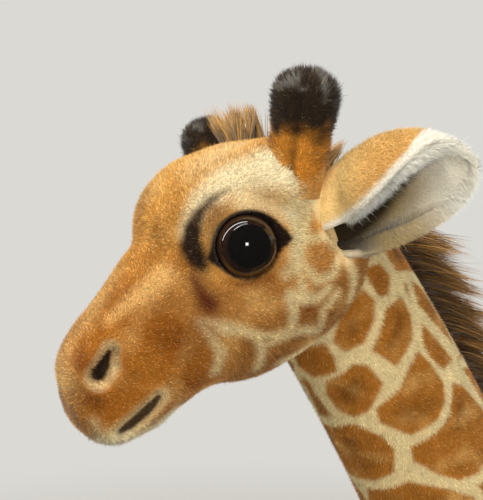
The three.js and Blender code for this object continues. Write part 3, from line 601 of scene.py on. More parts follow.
def horn_grid(side):
    place = 1 - (1 - np.linspace(0, 0.997, horn_rows)) ** 1.25
    last = horn_sections[-1][0]
    radius = along(horn_sections, np.minimum(place, last), 1) * HORN_DIAMETER
    radius *= np.sqrt(np.clip((1 - place) / (1 - last), 0, 1))
    radius *= 1 - DARK_TOP_SEAM_SHARE * np.exp(-((place - DARK_TOP_SEAM) / 0.05) ** 2)
    centres = HORN_IN_HEAD + place[:, None] * HORN_LENGTH * horn_axis
    grid = tube(centres, horn_across, horn_up, radius, horn_around)
    seam = on_horn_seam(grid.reshape(-1, 3)).reshape(grid.shape[:2]) * (1 - smoothstep(0.75, 0.9, place))[:, None]
    grid -= unit(grid - centres[:, None]) * (HORN_SEAM_DEPTH * seam)[..., None]
    return head_to_toy(grid * [side, 1, 1])

# %% Tail
TAIL_STANDOFF, TAIL_LENGTH, TAIL_ROOT_Z = 12.0, 74.0, 194.0
TAIL_DIAMETER, TAIL_ROOT_DIAMETER = 6.4, 9.6
TUFT_LENGTH, TUFT_DIAMETER = 44.0, 15.0
tail_root = np.array([0, CHEST_Y + 0.975 * TORSO_LENGTH + 0.5, TAIL_ROOT_Z]) + plan_shift
tail_knots = tail_root + np.array([
    (0, 0, 0),
    (0, TAIL_STANDOFF * 0.72, -TAIL_STANDOFF * 0.4),
    (0, TAIL_STANDOFF * 1.08, -TAIL_STANDOFF * 1.7),
    (0, TAIL_STANDOFF * 1.08, -TAIL_LENGTH * 0.6),
    (0, TAIL_STANDOFF, -TAIL_LENGTH),
])
knot_steps = np.concatenate([[0], np.cumsum(np.linalg.norm(np.diff(tail_knots, axis=0), axis=1) ** 0.5)])
tail_table = np.column_stack([knot_steps / knot_steps[-1], tail_knots])


def tail_line(place):
    return np.stack([along(tail_table, place, column) for column in (1, 2, 3)], -1)


tail_rows, tail_around = 70, 40
tail_places = np.linspace(0, 1, tail_rows)
tail_centres = tail_line(tail_places)
tail_ahead = unit(np.gradient(tail_centres, axis=0))
tail_radius = TAIL_DIAMETER / 2 * (1.1 - 0.25 * tail_places)
root_gap = np.linalg.norm(tail_centres - tail_root, axis=1)
ball = np.sqrt(np.clip((TAIL_ROOT_DIAMETER / 2) ** 2 - root_gap**2, 0, None))
tail_radius = np.maximum(tail_radius, ball)
tail_radius[-1] *= 0.5
# The root goes on into the torso as half a ball about the hinge, so that a lifted tail shows no cut end
behind = TAIL_ROOT_DIAMETER / 2 * np.sin(np.radians(np.linspace(-84, -12, 7)))
tail_centres = np.vstack([tail_root + behind[:, None] * tail_ahead[0], tail_centres])
tail_radius = np.concatenate([np.sqrt((TAIL_ROOT_DIAMETER / 2) ** 2 - behind**2), tail_radius])
tail_up = np.cross(LEFTWARD, np.vstack([np.tile(tail_ahead[0], (len(behind), 1)), tail_ahead]))
tail_grid = tube(tail_centres, LEFTWARD, tail_up, tail_radius, tail_around)
print("tail hangs from", tail_root.round(1), "to", tail_centres[-1].round(1), "mm")

# %% Ears: two sheets over the same arcs, opening toward the front
EAR_IN_HEAD = np.array([0.96 * HEAD_WIDTH / 2, 0.826 * HEAD_LENGTH, 0.033 * HEAD_HEIGHT])
EAR_LENGTH, EAR_WIDTH, EAR_CUP = 35.8, 29.0, 15.0
EAR_SWEEP = math.radians(42)
EAR_BACK_THICKNESS, EAR_LINING_THICKNESS = 1.6, 2.4
EAR_FLAP_BULGE = 0.4  # how much further the front flap stands out at the root
EAR_ROOT_PLACE = -0.14
ear_sections = [  # place, half width, depth, where the roll ends and the lower edge in degrees
    [-0.14, 0.34, 0.2, -4, 300],
    [0.06, 0.42, 0.29, -1, 296],
    [0.16, 0.44, 0.4, 3, 290],
    [0.3, 0.46, 0.49, 10, 282],
    [0.46, 0.47, 0.5, 19, 275],
    [0.62, 0.44, 0.44, 31, 269],
    [0.76, 0.375, 0.34, 47, 265],
    [0.88, 0.27, 0.23, 66, 261],
    [0.96, 0.16, 0.13, 80, 258],
]
ear_rows, ear_steps = 70, 60


def ear_frame(points):
    """From the ear's frame to the head's: y runs out along the leaf, the cup opens to x."""
    c, s = math.cos(-EAR_SWEEP), math.sin(-EAR_SWEEP)
    return points @ np.array([[c, -s, 0], [s, c, 0], [0, 0, 1]]).T + EAR_IN_HEAD


def ear_arcs(inset, first, last):
    place = first + (last - first) * np.sin(np.linspace(0, np.pi / 2, ear_rows))
    start, end = np.radians(along(ear_sections, place, 3)), np.radians(along(ear_sections, place, 4))
    angle = start[:, None] + (end - start)[:, None] * np.linspace(0, 1, ear_steps)[None, :]
    shut = np.sqrt(np.clip((1.0 - place) / 0.06, 0.04, 1))
    wide = np.maximum(along(ear_sections, place, 1) * EAR_WIDTH * shut - inset, 0.4)[:, None]
    deep = np.maximum(along(ear_sections, place, 2) * EAR_CUP * shut - inset, 0.3)[:, None]
    rise = 0.05 * EAR_WIDTH * np.sin(np.pi * np.clip(place, 0, 1))[:, None]
    deep = deep * np.where(np.cos(angle) > 0, 1 + EAR_FLAP_BULGE * (1 - smoothstep(0.1, 0.6, place[:, None])), 1)
    length = np.broadcast_to(place[:, None] * EAR_LENGTH, angle.shape)
    return np.stack([deep * np.cos(angle), length, rise + wide * np.sin(angle)], -1)


def ear_sheet(outer, inner, first, last, side):
    """A leaf with an outer and an inner face, as one closed band of points from edge to edge and back."""
    faces = np.concatenate([ear_arcs(outer, first, last), ear_arcs(inner, first, last)[:, ::-1]], axis=1)
    in_head = ear_frame(faces.reshape(-1, 3)).reshape(faces.shape)
    return head_to_toy(in_head * [side, 1, 1])

# %% [markdown]
# ## Colours: an airbrushed coat
#
# The plush is woven cream, and its patches are sprayed on through stencils: soft edges, darker cores, and cream
# lines left between them. Each colour here is a hex value turned to linear light by one function. The markings are
# drawn by lines and outlines on the form, so that the skin and every strand of its pile take the same colour.

# %% Hex colours and slow variation
def linear(hex_colour):
    value = np.array([int(hex_colour[i : i + 2], 16) / 255 for i in (1, 3, 5)])
    return np.where(value <= 0.04045, value / 12.92, ((value + 0.055) / 1.055) ** 2.4)


def mottle(points, size, seed):
    """Smooth variation between about -1 and 1, with lumps of about the size given in millimetres."""
    waves = np.random.default_rng(seed)
    total = np.zeros(len(points))
    for _ in range(10):
        direction = waves.normal(size=3)
        direction *= 2 * np.pi / (size * (1.4 + waves.random())) / np.linalg.norm(direction)
        total += np.sin(points @ direction + waves.random() * 2 * np.pi)
    return total / 3.2


def tinted(colour, *coats):
    """A colour with others sprayed over it in turn, each given by its name and its share at each point."""
    for name, share in coats:
        colour = colour + (linear(coat[name]) - colour) * np.clip(share, 0, 1)[:, None]
    return colour


def plain(name, points):
    """One of the coat's colours for every point."""
    return np.tile(linear(coat[name]), (len(points), 1))


coat = {
    "cream": "#e6cd98",
    "pale cream": "#f5e0b4",
    "patch": "#ab6d25",
    "patch core": "#7a4a12",
    "cheek patch": "#b9803f",
    "forehead": "#cb9143",
    "muzzle": "#a8681f",
    "muzzle dark": "#86480f",
    # painted highlight: a lighter gold for the lit top, sides and front of the nose
    "bridge": "#e4b36c",
    # the chin's cream, made lighter than its own tone as painted light, since the chin lies in shade
    "chin": "#e6d6b0",
    "lid beige": "#7f5f3c",
    "dark": "#23130b",
    "brown black": "#38210f",
    "red brown": "#5a2010",
    "tan": "#e0b067",
    "ear tan": "#dfae66",
    "lining": "#f8eeda",
    # an olive used as painted shade inside the ear and at its lower edge
    "olive ear shade": "#a88c4e",
    "lining dark": "#20150c",
    # a gold made lighter than its own tone, as painted light where the head shades the ear's root
    "ear gold": "#ffd88f",
    "horn": "#d0882f",
    "horn olive": "#6b4516",
    "horn tip": "#29211a",
    # grey of the fibre tips, with a painted sheen
    "horn grey tips and sheen": "#86837b",
    "mane root": "#3d1f10",
    "mane tip": "#ca9d54",
    "forelock": "#d09a42",
    "hoof": "#4a3220",
    "eye brown": "#21140c",
    "eye ring": "#2f1d12",
    "pupil": "#0b0908",
}

# %% Head markings: lines of (left, back, up, radius) in the head's frame
CHEEK_LINE_CUT, CHEEK_LINE_SOFT = 0.4, 3.2  # the lines were drawn out to their faint edges
# painted light: where the ears clip the pile short, its colour is lifted by this share to make up for the painted
# shade of the roots and the shade there
STUBBLE_PAINTED_LIGHT = 0.28  # clipped pile by the ears shows its dark roots, so its colour is lighter by this share
cheek_cream = [
    [(24, 66, 15, 4), (24.5, 67.5, 9, 4), (24.5, 65, 4.5, 2.2), (24, 61, 1, 2)],
    [(24.5, 73, 12, 4.5), (25, 76, 3, 3.5), (25, 77, -6, 4)],
    [(24.5, 64, 5, 2.6), (25, 66, 2.2, 1.5), (25, 68.5, 1.2, 1.3), (25, 71.5, 0.6, 1.6), (25, 73, -3, 1.8)],
    [(23.5, 75.5, -9, 2.2), (22, 75.5, -15, 2), (20, 73.5, -19, 1.8)],
    [(16.5, 34.5, -3, 1.2), (16.5, 35.5, -8, 1.6), (15.5, 36, -12.5, 1.7), (12, 33.5, -17.5, 1.6)],
    [(17, 36, -3.5, 1.2), (18, 38.5, -7, 2.4), (19.5, 42, -9.5, 1.6), (20, 45, -13, 1.6), (18, 45, -17.5, 1.6),
     (13, 43.5, -22.5, 1.4)],
    [(19.5, 43.5, -12, 1.2), (20, 49, -15.5, 1.5), (20.5, 53.5, -17, 1.6), (22.5, 55.5, -12, 1.7),
     (23.3, 56, -8.5, 2.4), (23, 60, -11, 2.2), (22.5, 63, -13, 1.6), (23, 66.5, -12, 1.8)],
    [(23, 59, -10, 2.2), (23.5, 60.5, -6, 1.4), (24, 60.5, 1, 1.5)],
    [(24, 61.5, 1, 1.5), (24, 62.5, -3.5, 1.5), (23.5, 64.5, -8.5, 1.6), (24, 69, -9.5, 1.6),
     (24.5, 72.5, -7, 1.8)],
    [(18.5, 45.5, -16, 1.3), (20, 51.5, -17, 1.5), (19.5, 56.5, -18.5, 1.6), (16.5, 62.5, -22.5, 1.8)],
    [(17, 63, -21.5, 1.6), (21, 64, -17, 1.3), (22.5, 69, -15, 1.6)],
    [(14, 50, -26, 2.5), (8, 60, -27, 5), (8, 72, -25, 6)],
]
face_paint = [  # line, colour, soft edge in millimetres, strength, how far the skin has sunk there
    ([(0, 60, 30, 9), (0, 76, 26, 8)], "tan", 12, 0.35, 0),
    ([(11, 30, 5, 5), (14, 33, -4, 6)], "muzzle dark", 11, 0.5, 0),
    ([(7.5, 8.5, 6, 1.5), (9.5, 7.5, 3, 2.5), (11, 6.5, -2, 2.5), (11, 5.5, -7, 2)],
     "muzzle dark", 5, 0.75, 0),
    ([(21, 44.5, 2.5, 0.6), (22, 47, 0.2, 1.2), (23, 50.5, -0.8, 1.4), (24, 53.5, -1.4, 1)],
     "muzzle dark", 3.5, 0.85, 0),
    ([(22, 47, -5.5, 2), (22.7, 50.5, -7.5, 2)], "tan", 4, 0.45, 0),
    ([(0, 24, 13, 4), (0, 38, 20, 4)], "forehead", 9, 0.5, 0),
    # painted light along the top of the nose
    ([(0, 4, 2, 6), (0, 14, 9, 5), (0, 24, 13, 5)], "bridge", 9, 0.3, 0),
    # painted highlight along the upper side of the bridge
    ([(10.5, 17.5, 8, 1.2), (11.5, 23, 9, 2), (12.3, 28.5, 9.6, 2.8), (13.2, 33, 10.6, 2.6)],
     "bridge", 5, 0.88, 0),
    ([(8.5, 9, 5.5, 0.3), (10, 12, 6, 0.5), (10.5, 14.5, 6.5, 0.3)], "muzzle dark", 2.6, 0.6, 0),
    ([(8.5, 34, 16, 2)], "muzzle dark", 5, 0.5, 0),
    ([(16, 30, -16, 4), (10, 26, -22, 4)], "muzzle dark", 8, 0.4, 0),
    ([(16.3, 42.5, 17.2, 2.4), (17.5, 48.5, 22, 2.9), (19, 56, 23, 3.8), (20.5, 66, 21, 5.2),
      (23, 72.5, 14.5, 5.5)],
     "pale cream", 5, 0.95, 0),
    ([(12, 54, 28, 4), (12, 64, 28, 6)], "pale cream", 9, 0.3, 0),
    ([(21, 60, 21, 4.5), (25, 66, 21, 5.5), (26, 74, 18, 6), (25, 78, 12, 3)], "pale cream", 5, 0.9, 0),
    ([(23.5, 63, 12.5, 1), (23.8, 67.5, 12.7, 1.5), (24, 70.5, 11.5, 1.5)], "pale cream", 4, 0.8, 0),
    # gold by the ear's root, with painted light on it where the ear shades the head
    ([(22, 75, 16, 1.5), (23.5, 74, 12.5, 2), (24.5, 73.5, 9, 1.5)], "ear gold", 2.5, 0.9, 0),
    ([(20.5, 52, 19.5, 1.6), (21.8, 55.5, 17.5, 2.8), (22.5, 58.5, 15.5, 2.8), (23, 61.5, 13.5, 3),
      (24, 64, 9.5, 2.6)],
     "pale cream", 4, 0.8, 0),
    ([(24.5, 65, 4.5, 2.8), (24.5, 62.5, 1.5, 2.4), (24, 60, -1.5, 1.8), (24, 57, -2.5, 1.2)],
     "cream", 3.5, 0.8, 0),
    ([(21.5, 52.5, 18, 1.6), (20.5, 49.5, 17.4, 2.6), (20.3, 46.5, 14.5, 2.2), (20, 44.8, 12, 1.8),
      (19.5, 43, 9.5, 1.4)],
     "lid beige", 2.6, 0.85, 0),
    (lid_crease, "brown black", 2.8, 0.97, 1),
    ([(17.2, 43.4, 16.5, 1.4), (17.6, 41.6, 12.8, 2), (18.4, 41.2, 9.6, 1.2)], "dark", 2.4, 0.85, 1),
    ([(17, 38, 7, 1.3), (17.2, 37.8, 3.5, 1.7), (18, 38.2, -0.3, 2.2)], "red brown", 4, 0.9, 0),
    # painted light on the front of the nose, down to its underside
    ([(2, 1, -8, 6), (3, 1.5, -14, 4), (0, 4, 2, 6)], "bridge", 10, 0.35, 0),
    ([(12.8, 13.6, 1.8, 2.1), (12.8, 11, -0.8, 3.1), (12.1, 8.4, -2.2, 3.0)], "cream", 2.4, 0.82, 0),
    ([(9.6, 6, -16.6, 2.2), (11.5, 9, -16.4, 2.9), (13, 14, -15.5, 3), (13.7, 18.2, -14.2, 2.4)],
     "cream", 3, 0.75, 0),
    ([(9.2, 3.2, -11.5, 0.8), (8, 4, -15, 1.5), (9, 5, -16.5, 2.5)], "cream", 4.5, 0.75, 0),
    # the chin's cream, with painted light on it where it lies in shade underneath
    ([(5, 4.5, -19, 4.5), (7, 11, -22.5, 5), (7, 19, -23, 4.5)], "chin", 5, 0.95, 0),
    (nostril_line, "dark", 1, 0.98, 3.6),
    (mouth_line, "brown black", 1.1, 0.95, 2.6),
]
lid_paint = [  # turn about the eye from the back upward, and how far past the lens the black lid reaches
    [0, 2.4], [14, 1.9], [29, 1.5], [59, 1.0], [89, 0.8], [119, 0.7], [144, 0.9], [160, 1.4], [171, 2.5],
    [182, 1.6], [194, 0.8], [219, 0.35], [269, 0.25], [309, 0.35], [321, 0.9], [330, 1.7], [341, 3.9],
    [350, 3.2], [360, 2.4],
]

# %% The head's colours
def head_colour(toy_points):
    points = near_side(toy_to_head(toy_points))
    back, rise = points[:, 1], points[:, 2]
    lower, jaw = 1 - smoothstep(-4, 12, rise), 1 - smoothstep(-14, -8, rise)
    cream = np.max([
        brushed(points, np.array(line) - [0, 0, 0, CHEEK_LINE_CUT], CHEEK_LINE_SOFT) for line in cheek_cream
    ], axis=0)
    colour = tinted(
        plain("forehead", points),
        ("muzzle", 1 - smoothstep(26, 50, back + 0.35 * rise)),
        ("cheek patch", lower * smoothstep(30, 42, back)),
        ("patch core", 0.55 * jaw * smoothstep(34, 42, back)),
        ("muzzle dark", 0.5 * mottle(points, 9, 5) - 0.1),
        ("tan", 0.35 * mottle(points, 6, 6)),
        ("cream", 0.86 * cream),
        *((name, strength * brushed_through(points, line, soft, sunk))
          for line, name, soft, strength, sunk in face_paint),
    )
    wide, _, turn = around_eye(points)
    lid = EYE_RADIUS + np.interp(turn, *np.array(lid_paint).T)
    on_lid = (1 - smoothstep(-0.5, 0.6, wide - lid)) * on_cheek(points)
    # painted light where the ears clip the pile
    colour = colour * (1 + STUBBLE_PAINTED_LIGHT * (1 - ear_room(toy_points)))[:, None]
    return tinted(colour, ("dark", on_lid))

# %% Neck patches: outlines of (place up the neck, turn from the mane in degrees)
neck_patches = [
    [(0.94, 129), (0.96, 112), (0.96, 99), (0.937, 95), (0.912, 104), (0.887, 121), (0.892, 136), (0.915, 141)],
    [(0.912, 88), (0.907, 68), (0.875, 69), (0.85, 79), (0.84, 94), (0.832, 107), (0.867, 117), (0.887, 104)],
    [(0.845, 62), (0.807, 57), (0.757, 50), (0.764, 64), (0.799, 71), (0.827, 71)],
    [(0.985, 88), (0.975, 70), (0.947, 67), (0.93, 80), (0.937, 87), (0.96, 89)],
    [(0.917, 172), (0.925, 157), (0.92, 148), (0.892, 147), (0.875, 149), (0.872, 168), (0.89, 176)],
    [(0.862, 158), (0.865, 135), (0.85, 127), (0.815, 123), (0.789, 141), (0.787, 153), (0.805, 162),
     (0.837, 165)],
    [(0.825, 81), (0.797, 76), (0.749, 73), (0.729, 82), (0.719, 99), (0.724, 123), (0.762, 137), (0.784, 135),
     (0.794, 113), (0.812, 100)],
    [(0.729, 62), (0.707, 53), (0.644, 43), (0.604, 62), (0.591, 85), (0.609, 104), (0.639, 118), (0.679, 130),
     (0.702, 127), (0.699, 105), (0.702, 85), (0.717, 71)],
    [(0.772, 178), (0.772, 157), (0.739, 143), (0.712, 139), (0.674, 147), (0.664, 162), (0.664, 180),
     (0.719, 184)],
    [(0.642, 172), (0.647, 141), (0.607, 117), (0.564, 100), (0.535, 118), (0.535, 150), (0.535, 178),
     (0.607, 178)],
    [(0.72, 38), (0.7, 20), (0.64, 14), (0.61, 26), (0.66, 36)],
    [(0.9, 42), (0.87, 30), (0.8, 22), (0.76, 30), (0.82, 44), (0.87, 52)],
]
PATCH_GROWTH = 0.45  # the outlines were drawn inside the sprayed edge


def outline_depth(points, outline):
    """How deep points lie inside a closed outline on a flat map, negative outside."""
    inside = np.zeros(len(points), bool)
    gap = np.full(len(points), np.inf)
    x, y = points.T
    for (ax, ay), (bx, by) in zip(outline, np.roll(outline, -1, 0)):
        t = np.clip(((x - ax) * (bx - ax) + (y - ay) * (by - ay)) / ((bx - ax) ** 2 + (by - ay) ** 2), 0, 1)
        gap = np.minimum(gap, np.hypot(x - ax - t * (bx - ax), y - ay - t * (by - ay)))
        crosses = (ay > y) != (by > y)
        inside ^= crosses & (x < (bx - ax) * (y - ay) / (by - ay + 1e-12) + ax)
    return np.where(inside, gap, -gap)

# %% Patches of the body, laid out by their middles
PATCH_SPACING = {"body": 25.0, "neck": 22.0, "leg": 14.5}
CREAM_LINE = 3.4
TRIES = 1400  # places tried on each form


def lay_middles():
    """Patch middles over the left half, far enough apart that cream lines fit between them."""
    draw = np.random.default_rng(7)
    pools = [(neck_grid, "neck"), (torso_grid, "body")]
    pools += [(leg_grid(which, 1)[35:], "leg") for which in ("front", "rear")]
    middles, spacing = np.zeros((0, 3)), np.zeros(0)
    for grid, kind in pools:
        pool = grid.reshape(-1, 3)
        pool = pool[pool[:, 0] > 2]
        for candidate in pool[draw.integers(0, len(pool), TRIES)]:
            room = PATCH_SPACING[kind]
            if kind == "leg":
                room *= np.interp(candidate[2], [60, 150], [0.8, 1.35])
            gap = np.linalg.norm(middles - candidate, axis=1) if len(middles) else np.array([np.inf])
            if (gap > (room + np.append(spacing, room)[: len(gap)]) / 2).all():
                middles, spacing = np.vstack([middles, candidate]), np.append(spacing, room)
    return middles


patch_middles = lay_middles()
print(len(patch_middles), "patch middles on the left half")

# %% Depth in a patch, and the colours of the coat
EDGE_WANDER, EDGE_WAVES = 1.6, 14.0  # how far the edges wander off straight lines, and over what length
CHUNK = 40000  # points measured at a time, to spare memory


def edge_depth(points):
    """Distance from the lines that run midway between patch middles."""
    points = near_side(points)
    points = points + np.stack([mottle(points, EDGE_WAVES, 20 + k) for k in range(3)], 1) * EDGE_WANDER
    depth = np.empty(len(points))
    for start in range(0, len(points), CHUNK):
        gap = np.linalg.norm(points[start : start + CHUNK, None] - patch_middles[None], axis=2)
        order = np.argsort(gap, axis=1)[:, :2]
        first, second = np.take_along_axis(gap, order, 1).T
        apart = np.linalg.norm(patch_middles[order[:, 0]] - patch_middles[order[:, 1]], axis=1)
        depth[start : start + CHUNK] = (second**2 - first**2) / (2 * apart)
    return depth


def patched(depth, points):
    """Cream where depth is under 0, and brown in the patch, with a soft sprayed edge and a darker core."""
    return tinted(
        plain("cream", points),
        ("patch", smoothstep(-0.7, 0.9, depth)),
        ("patch core", smoothstep(1.5, 6, depth) * (0.48 + 0.5 * mottle(points, 10, 8))),
        ("tan", smoothstep(0, 1, depth) * 0.25 * mottle(points, 5, 9)),
    )


OUTLINE_REACH = 9.0  # further off than this, an outline has no say


def neck_map(place, turn):
    """The neck's side laid flat, in millimetres: up its line, and round it from the mane."""
    half, behind, front = neck_size(place)
    return np.stack([place * NECK_LENGTH, np.radians(turn) * (half + (behind + front) / 2) / 2], 1)


def neck_colour(points):
    flat_map = neck_map(*neck_coordinates(points))
    flat_map += np.stack([mottle(points, 12, 31), mottle(points, 12, 32)], 1) * 0.5
    depths = [outline_depth(flat_map, neck_map(*np.array(outline).T)) for outline in neck_patches]
    depth = np.max(depths, axis=0, initial=-OUTLINE_REACH) + PATCH_GROWTH
    low = np.minimum(edge_depth(points) - CREAM_LINE / 2, -depth - CREAM_LINE)
    return patched(np.maximum(depth, low), points)

# %% Torso, legs, horns, tail and hooves
def body_colour(points):
    belly = 1 - smoothstep(156, 172, points[:, 2])
    return tinted(patched(edge_depth(points) - CREAM_LINE / 2, points), ("cream", belly * 0.85))


def leg_colour(points):
    shank = 1 - smoothstep(52, 84, points[:, 2])
    inner = smoothstep(-2, 6, LEG_X - np.abs(points[:, 0]))
    return tinted(
        patched(edge_depth(points) - CREAM_LINE / 2, points),
        ("cream", np.maximum(shank * 0.9, inner * 0.7)),
        ("tan", 0.35 * shank + 0.2 * mottle(points, 9, 12)),
    )


def horn_colour(points):
    """Orange over a tan root, then olive, and black at the top, with grey fibre tips and a painted sheen on it."""
    place = (near_side(toy_to_head(points)) - HORN_IN_HEAD) @ horn_axis / HORN_LENGTH
    return tinted(
        plain("horn", points),
        ("tan", 0.25 + 0.4 * mottle(points, 5, 14) - smoothstep(0.1, 0.5, place)),
        ("tan", 0.7 * (1 - smoothstep(-0.05, 0.14, place))),
        ("horn olive", 0.8 * smoothstep(0.3, 0.56, place + 0.12 * mottle(points, 3.5, 15))),
        ("brown black", 0.5 * on_horn_seam(toy_to_head(points))),
        ("horn tip", 0.96 * smoothstep(0.44, 0.64, place + 0.07 * mottle(points, 2.6, 16))),
        # grey fibre tips with a painted sheen over the black top
        ("horn grey tips and sheen", 0.5 * smoothstep(0.66, 0.9, place) * smoothstep(0.1, 0.9, mottle(points, 2.2, 19))),
    )


def tail_colour(points):
    low = smoothstep(0, 60, TAIL_ROOT_Z - points[:, 2] + 6 * mottle(points, 8, 17))
    darkest = 0.5 * smoothstep(0.8, 1.2, low)
    return tinted(plain("cream", points), ("patch", 0.3 + 0.6 * low), ("mane root", darkest))


def hoof_colour(points):
    return tinted(plain("hoof", points), ("dark", 0.4 + 0.4 * mottle(points, 6, 18)))

# %% Ears, by their own map
LINING_REACH = (-0.12, 0.96)
# Place along the leaf, and how far below the flap the black shows, in millimetres
FOLD_REACH = [[-0.12, 13.5], [0.1, 13.0], [0.3, 12.0], [0.5, 8.5], [0.66, 4.5], [0.86, 2.0]]
# Place along the leaf, and how far round it the white of the rim reaches, as a share
WHITE_BORDER = [[0, 0.012], [0.4, 0.016], [0.6, 0.03], [0.7, 0.08], [0.78, 0.2], [0.86, 1.0]]


def across_leaf(shares):
    """From the upper edge, 0, to the lower edge, 1, for either face of a leaf."""
    return np.where(shares[:, 1] < 0.5, shares[:, 1] * 2, 2 - shares[:, 1] * 2)


def shaded_lower_edge(place, turn):
    """Toward the root, the leaf's lower edge gets an olive painted shade, inside and out."""
    fading = (0.55 + 0.3 * smoothstep(0, 0.25, place)) * (1 - smoothstep(0.4, 0.8, place))
    return fading * smoothstep(0.8, 0.9, turn)


def ear_back_colour(points, shares):
    """Gold at the root, lightened there as painted light where the head shades it, more orange toward the tip, and
    white past a border that widens to the tip.
    """
    turn = across_leaf(shares)
    place = EAR_ROOT_PLACE + (1 - EAR_ROOT_PLACE) * np.sin(shares[:, 0] * np.pi / 2)
    orange = 0.3 * (1 - smoothstep(0.02, 0.3, turn)) * smoothstep(0.3, 0.6, place)
    border = np.interp(place, *np.array(WHITE_BORDER).T)
    return tinted(
        plain("ear tan", points),
        # painted light at the root, where the head shades it
        ("ear gold", 0.9 * (1 - smoothstep(0, 0.4, place))),
        ("patch", orange + 0.1 * mottle(points, 7, 41)),
        ("lining", np.maximum(1 - smoothstep(border, border + 0.03, turn), smoothstep(0.86, 0.92, turn))),
        # painted shade at the lower edge, near the root
        ("olive ear shade", shaded_lower_edge(place, turn)),
    )


def ear_lining_colour(points, shares):
    """White at the rim and the tip, an olive painted shade in the cup, and black in the fold just below the flap."""
    first, last = LINING_REACH
    turn = across_leaf(shares)
    place = first + (last - first) * np.sin(shares[:, 0] * np.pi / 2)
    half, start, end = (along(ear_sections, place, column) for column in (1, 3, 4))
    angle = np.radians(start + (end - start) * turn)
    below_flap = (np.sin(np.radians(start)) - np.sin(angle)) * half * EAR_WIDTH
    # painted shade in the cup's hollow
    cup = smoothstep(0.1, 0.2, turn) * (1 - smoothstep(0.7, 1.1, turn)) * (1 - smoothstep(0.35, 0.8, place))
    reach = np.interp(place, *np.array(FOLD_REACH).T)
    fold = (1 - smoothstep(reach - 4, reach + 2.5, below_flap)) * smoothstep(0.07, 0.12, turn)
    fold = np.where(np.degrees(angle) > 60, fold, 0) * (1 - smoothstep(0.8, 0.88, place))
    return tinted(
        plain("lining", points),
        # painted shade in the cup and at the lower edge
        ("olive ear shade", np.maximum(0.95 * cup, shaded_lower_edge(place, turn)) + 0.1 * mottle(points, 6, 42)),
        ("lining dark", 0.96 * fold),
    )

# %% [markdown]
# ## Meshes, and the pile
#
# Velboa is a knit with a short cut pile: millions of polyester fibres about 1.5 mm long, which lie back along the
# nap. Blender can grow them as hair, but hair isn't a mesh, so it wouldn't go with the part. Here each strand is a
# thin pointed spike with its root on the skin. The spikes are drawn coarser than the real fibre, 0.15 to 0.3 mm
# wide, so that they show at the scale of the picture, and their normals keep close to the skin's, which lights the
# pile as one soft surface. The map named OFBake gives each spike its own cell, so that its colour can be baked.

# %% Mesh makers
def new_mesh(name, points, faces, colour, uv, normals=None):
    """A mesh from points in millimetres, lists of equal faces, a colour for each point and a map."""
    mesh = bpy.data.meshes.new(name)
    mesh.vertices.add(len(points))
    mesh.vertices.foreach_set("co", (points * MM).astype(np.float32).ravel())
    corners = np.concatenate([f.ravel() for f in faces])
    starts, used = [], 0
    for f in faces:
        starts.append(used + np.arange(len(f)) * f.shape[1])
        used += f.size
    mesh.loops.add(len(corners))
    mesh.loops.foreach_set("vertex_index", corners.astype(np.int32))
    mesh.polygons.add(sum(len(f) for f in faces))
    mesh.polygons.foreach_set("loop_start", np.concatenate(starts).astype(np.int32))
    mesh.update(calc_edges=True)
    layer = mesh.color_attributes.new("coat", "FLOAT_COLOR", "POINT")
    layer.data.foreach_set("color", np.column_stack([colour, np.ones(len(points))]).astype(np.float32).ravel())
    bake_map = mesh.uv_layers.new(name="OFBake")
    flat_map = uv(corners) if callable(uv) else uv[corners]
    bake_map.data.foreach_set("uv", flat_map.astype(np.float32).ravel())
    if normals is not None:
        mesh.normals_split_custom_set_from_vertices(normals)
    return put(name, mesh)


def skin_mesh(name, grid, colour):
    """A closed skin over a grid of rings, with a point at each end."""
    rows, around = grid.shape[:2]
    points = np.vstack([grid.reshape(-1, 3), grid[0].mean(0), grid[-1].mean(0)])
    r, c = np.meshgrid(np.arange(rows - 1), np.arange(around), indexing="ij")
    a, b = r * around + c, r * around + (c + 1) % around
    quads = np.stack([a, b, b + around, a + around], -1).reshape(-1, 4)
    ring = np.arange(around)
    after = (ring + 1) % around
    last = (rows - 1) * around
    fans = np.concatenate([
        np.stack([after, ring, np.full(around, len(points) - 2)], 1),
        np.stack([last + ring, last + after, np.full(around, len(points) - 1)], 1),
    ])
    start, end = points[quads[:, 0]], points[quads[:, 2]]
    facing = np.cross(end - start, points[quads[:, 3]] - points[quads[:, 1]])
    if ((start - grid.mean((0, 1))) * facing).sum() < 0:
        quads, fans = quads[:, ::-1], fans[:, ::-1]

    def unrolled(corners):
        """Rows run up the map and columns across it. Faces that close the ring go on past the last column."""
        flat = np.column_stack([(corners % around) / around, (corners // around + 1) / (rows + 1)])
        tip = corners >= rows * around
        flat[tip] = np.column_stack([np.full(tip.sum(), 0.5), (corners[tip] - rows * around) * 1.0])
        sheet = flat[: quads.size].reshape(-1, 4, 2)
        crossing = np.ptp(sheet[:, :, 0], axis=1) > 0.5
        sheet[crossing, :, 0] = np.where(sheet[crossing, :, 0] < 0.5, 1.0, sheet[crossing, :, 0])
        cap = flat[quads.size :].reshape(-1, 3, 2)
        crossing = np.ptp(cap[:, :, 0], axis=1) > 0.6
        cap[crossing, :, 0] = np.where(cap[crossing, :, 0] < 0.4, 1.0, cap[crossing, :, 0])
        return flat

    return new_mesh(name, points, [quads, fans], colour, unrolled)

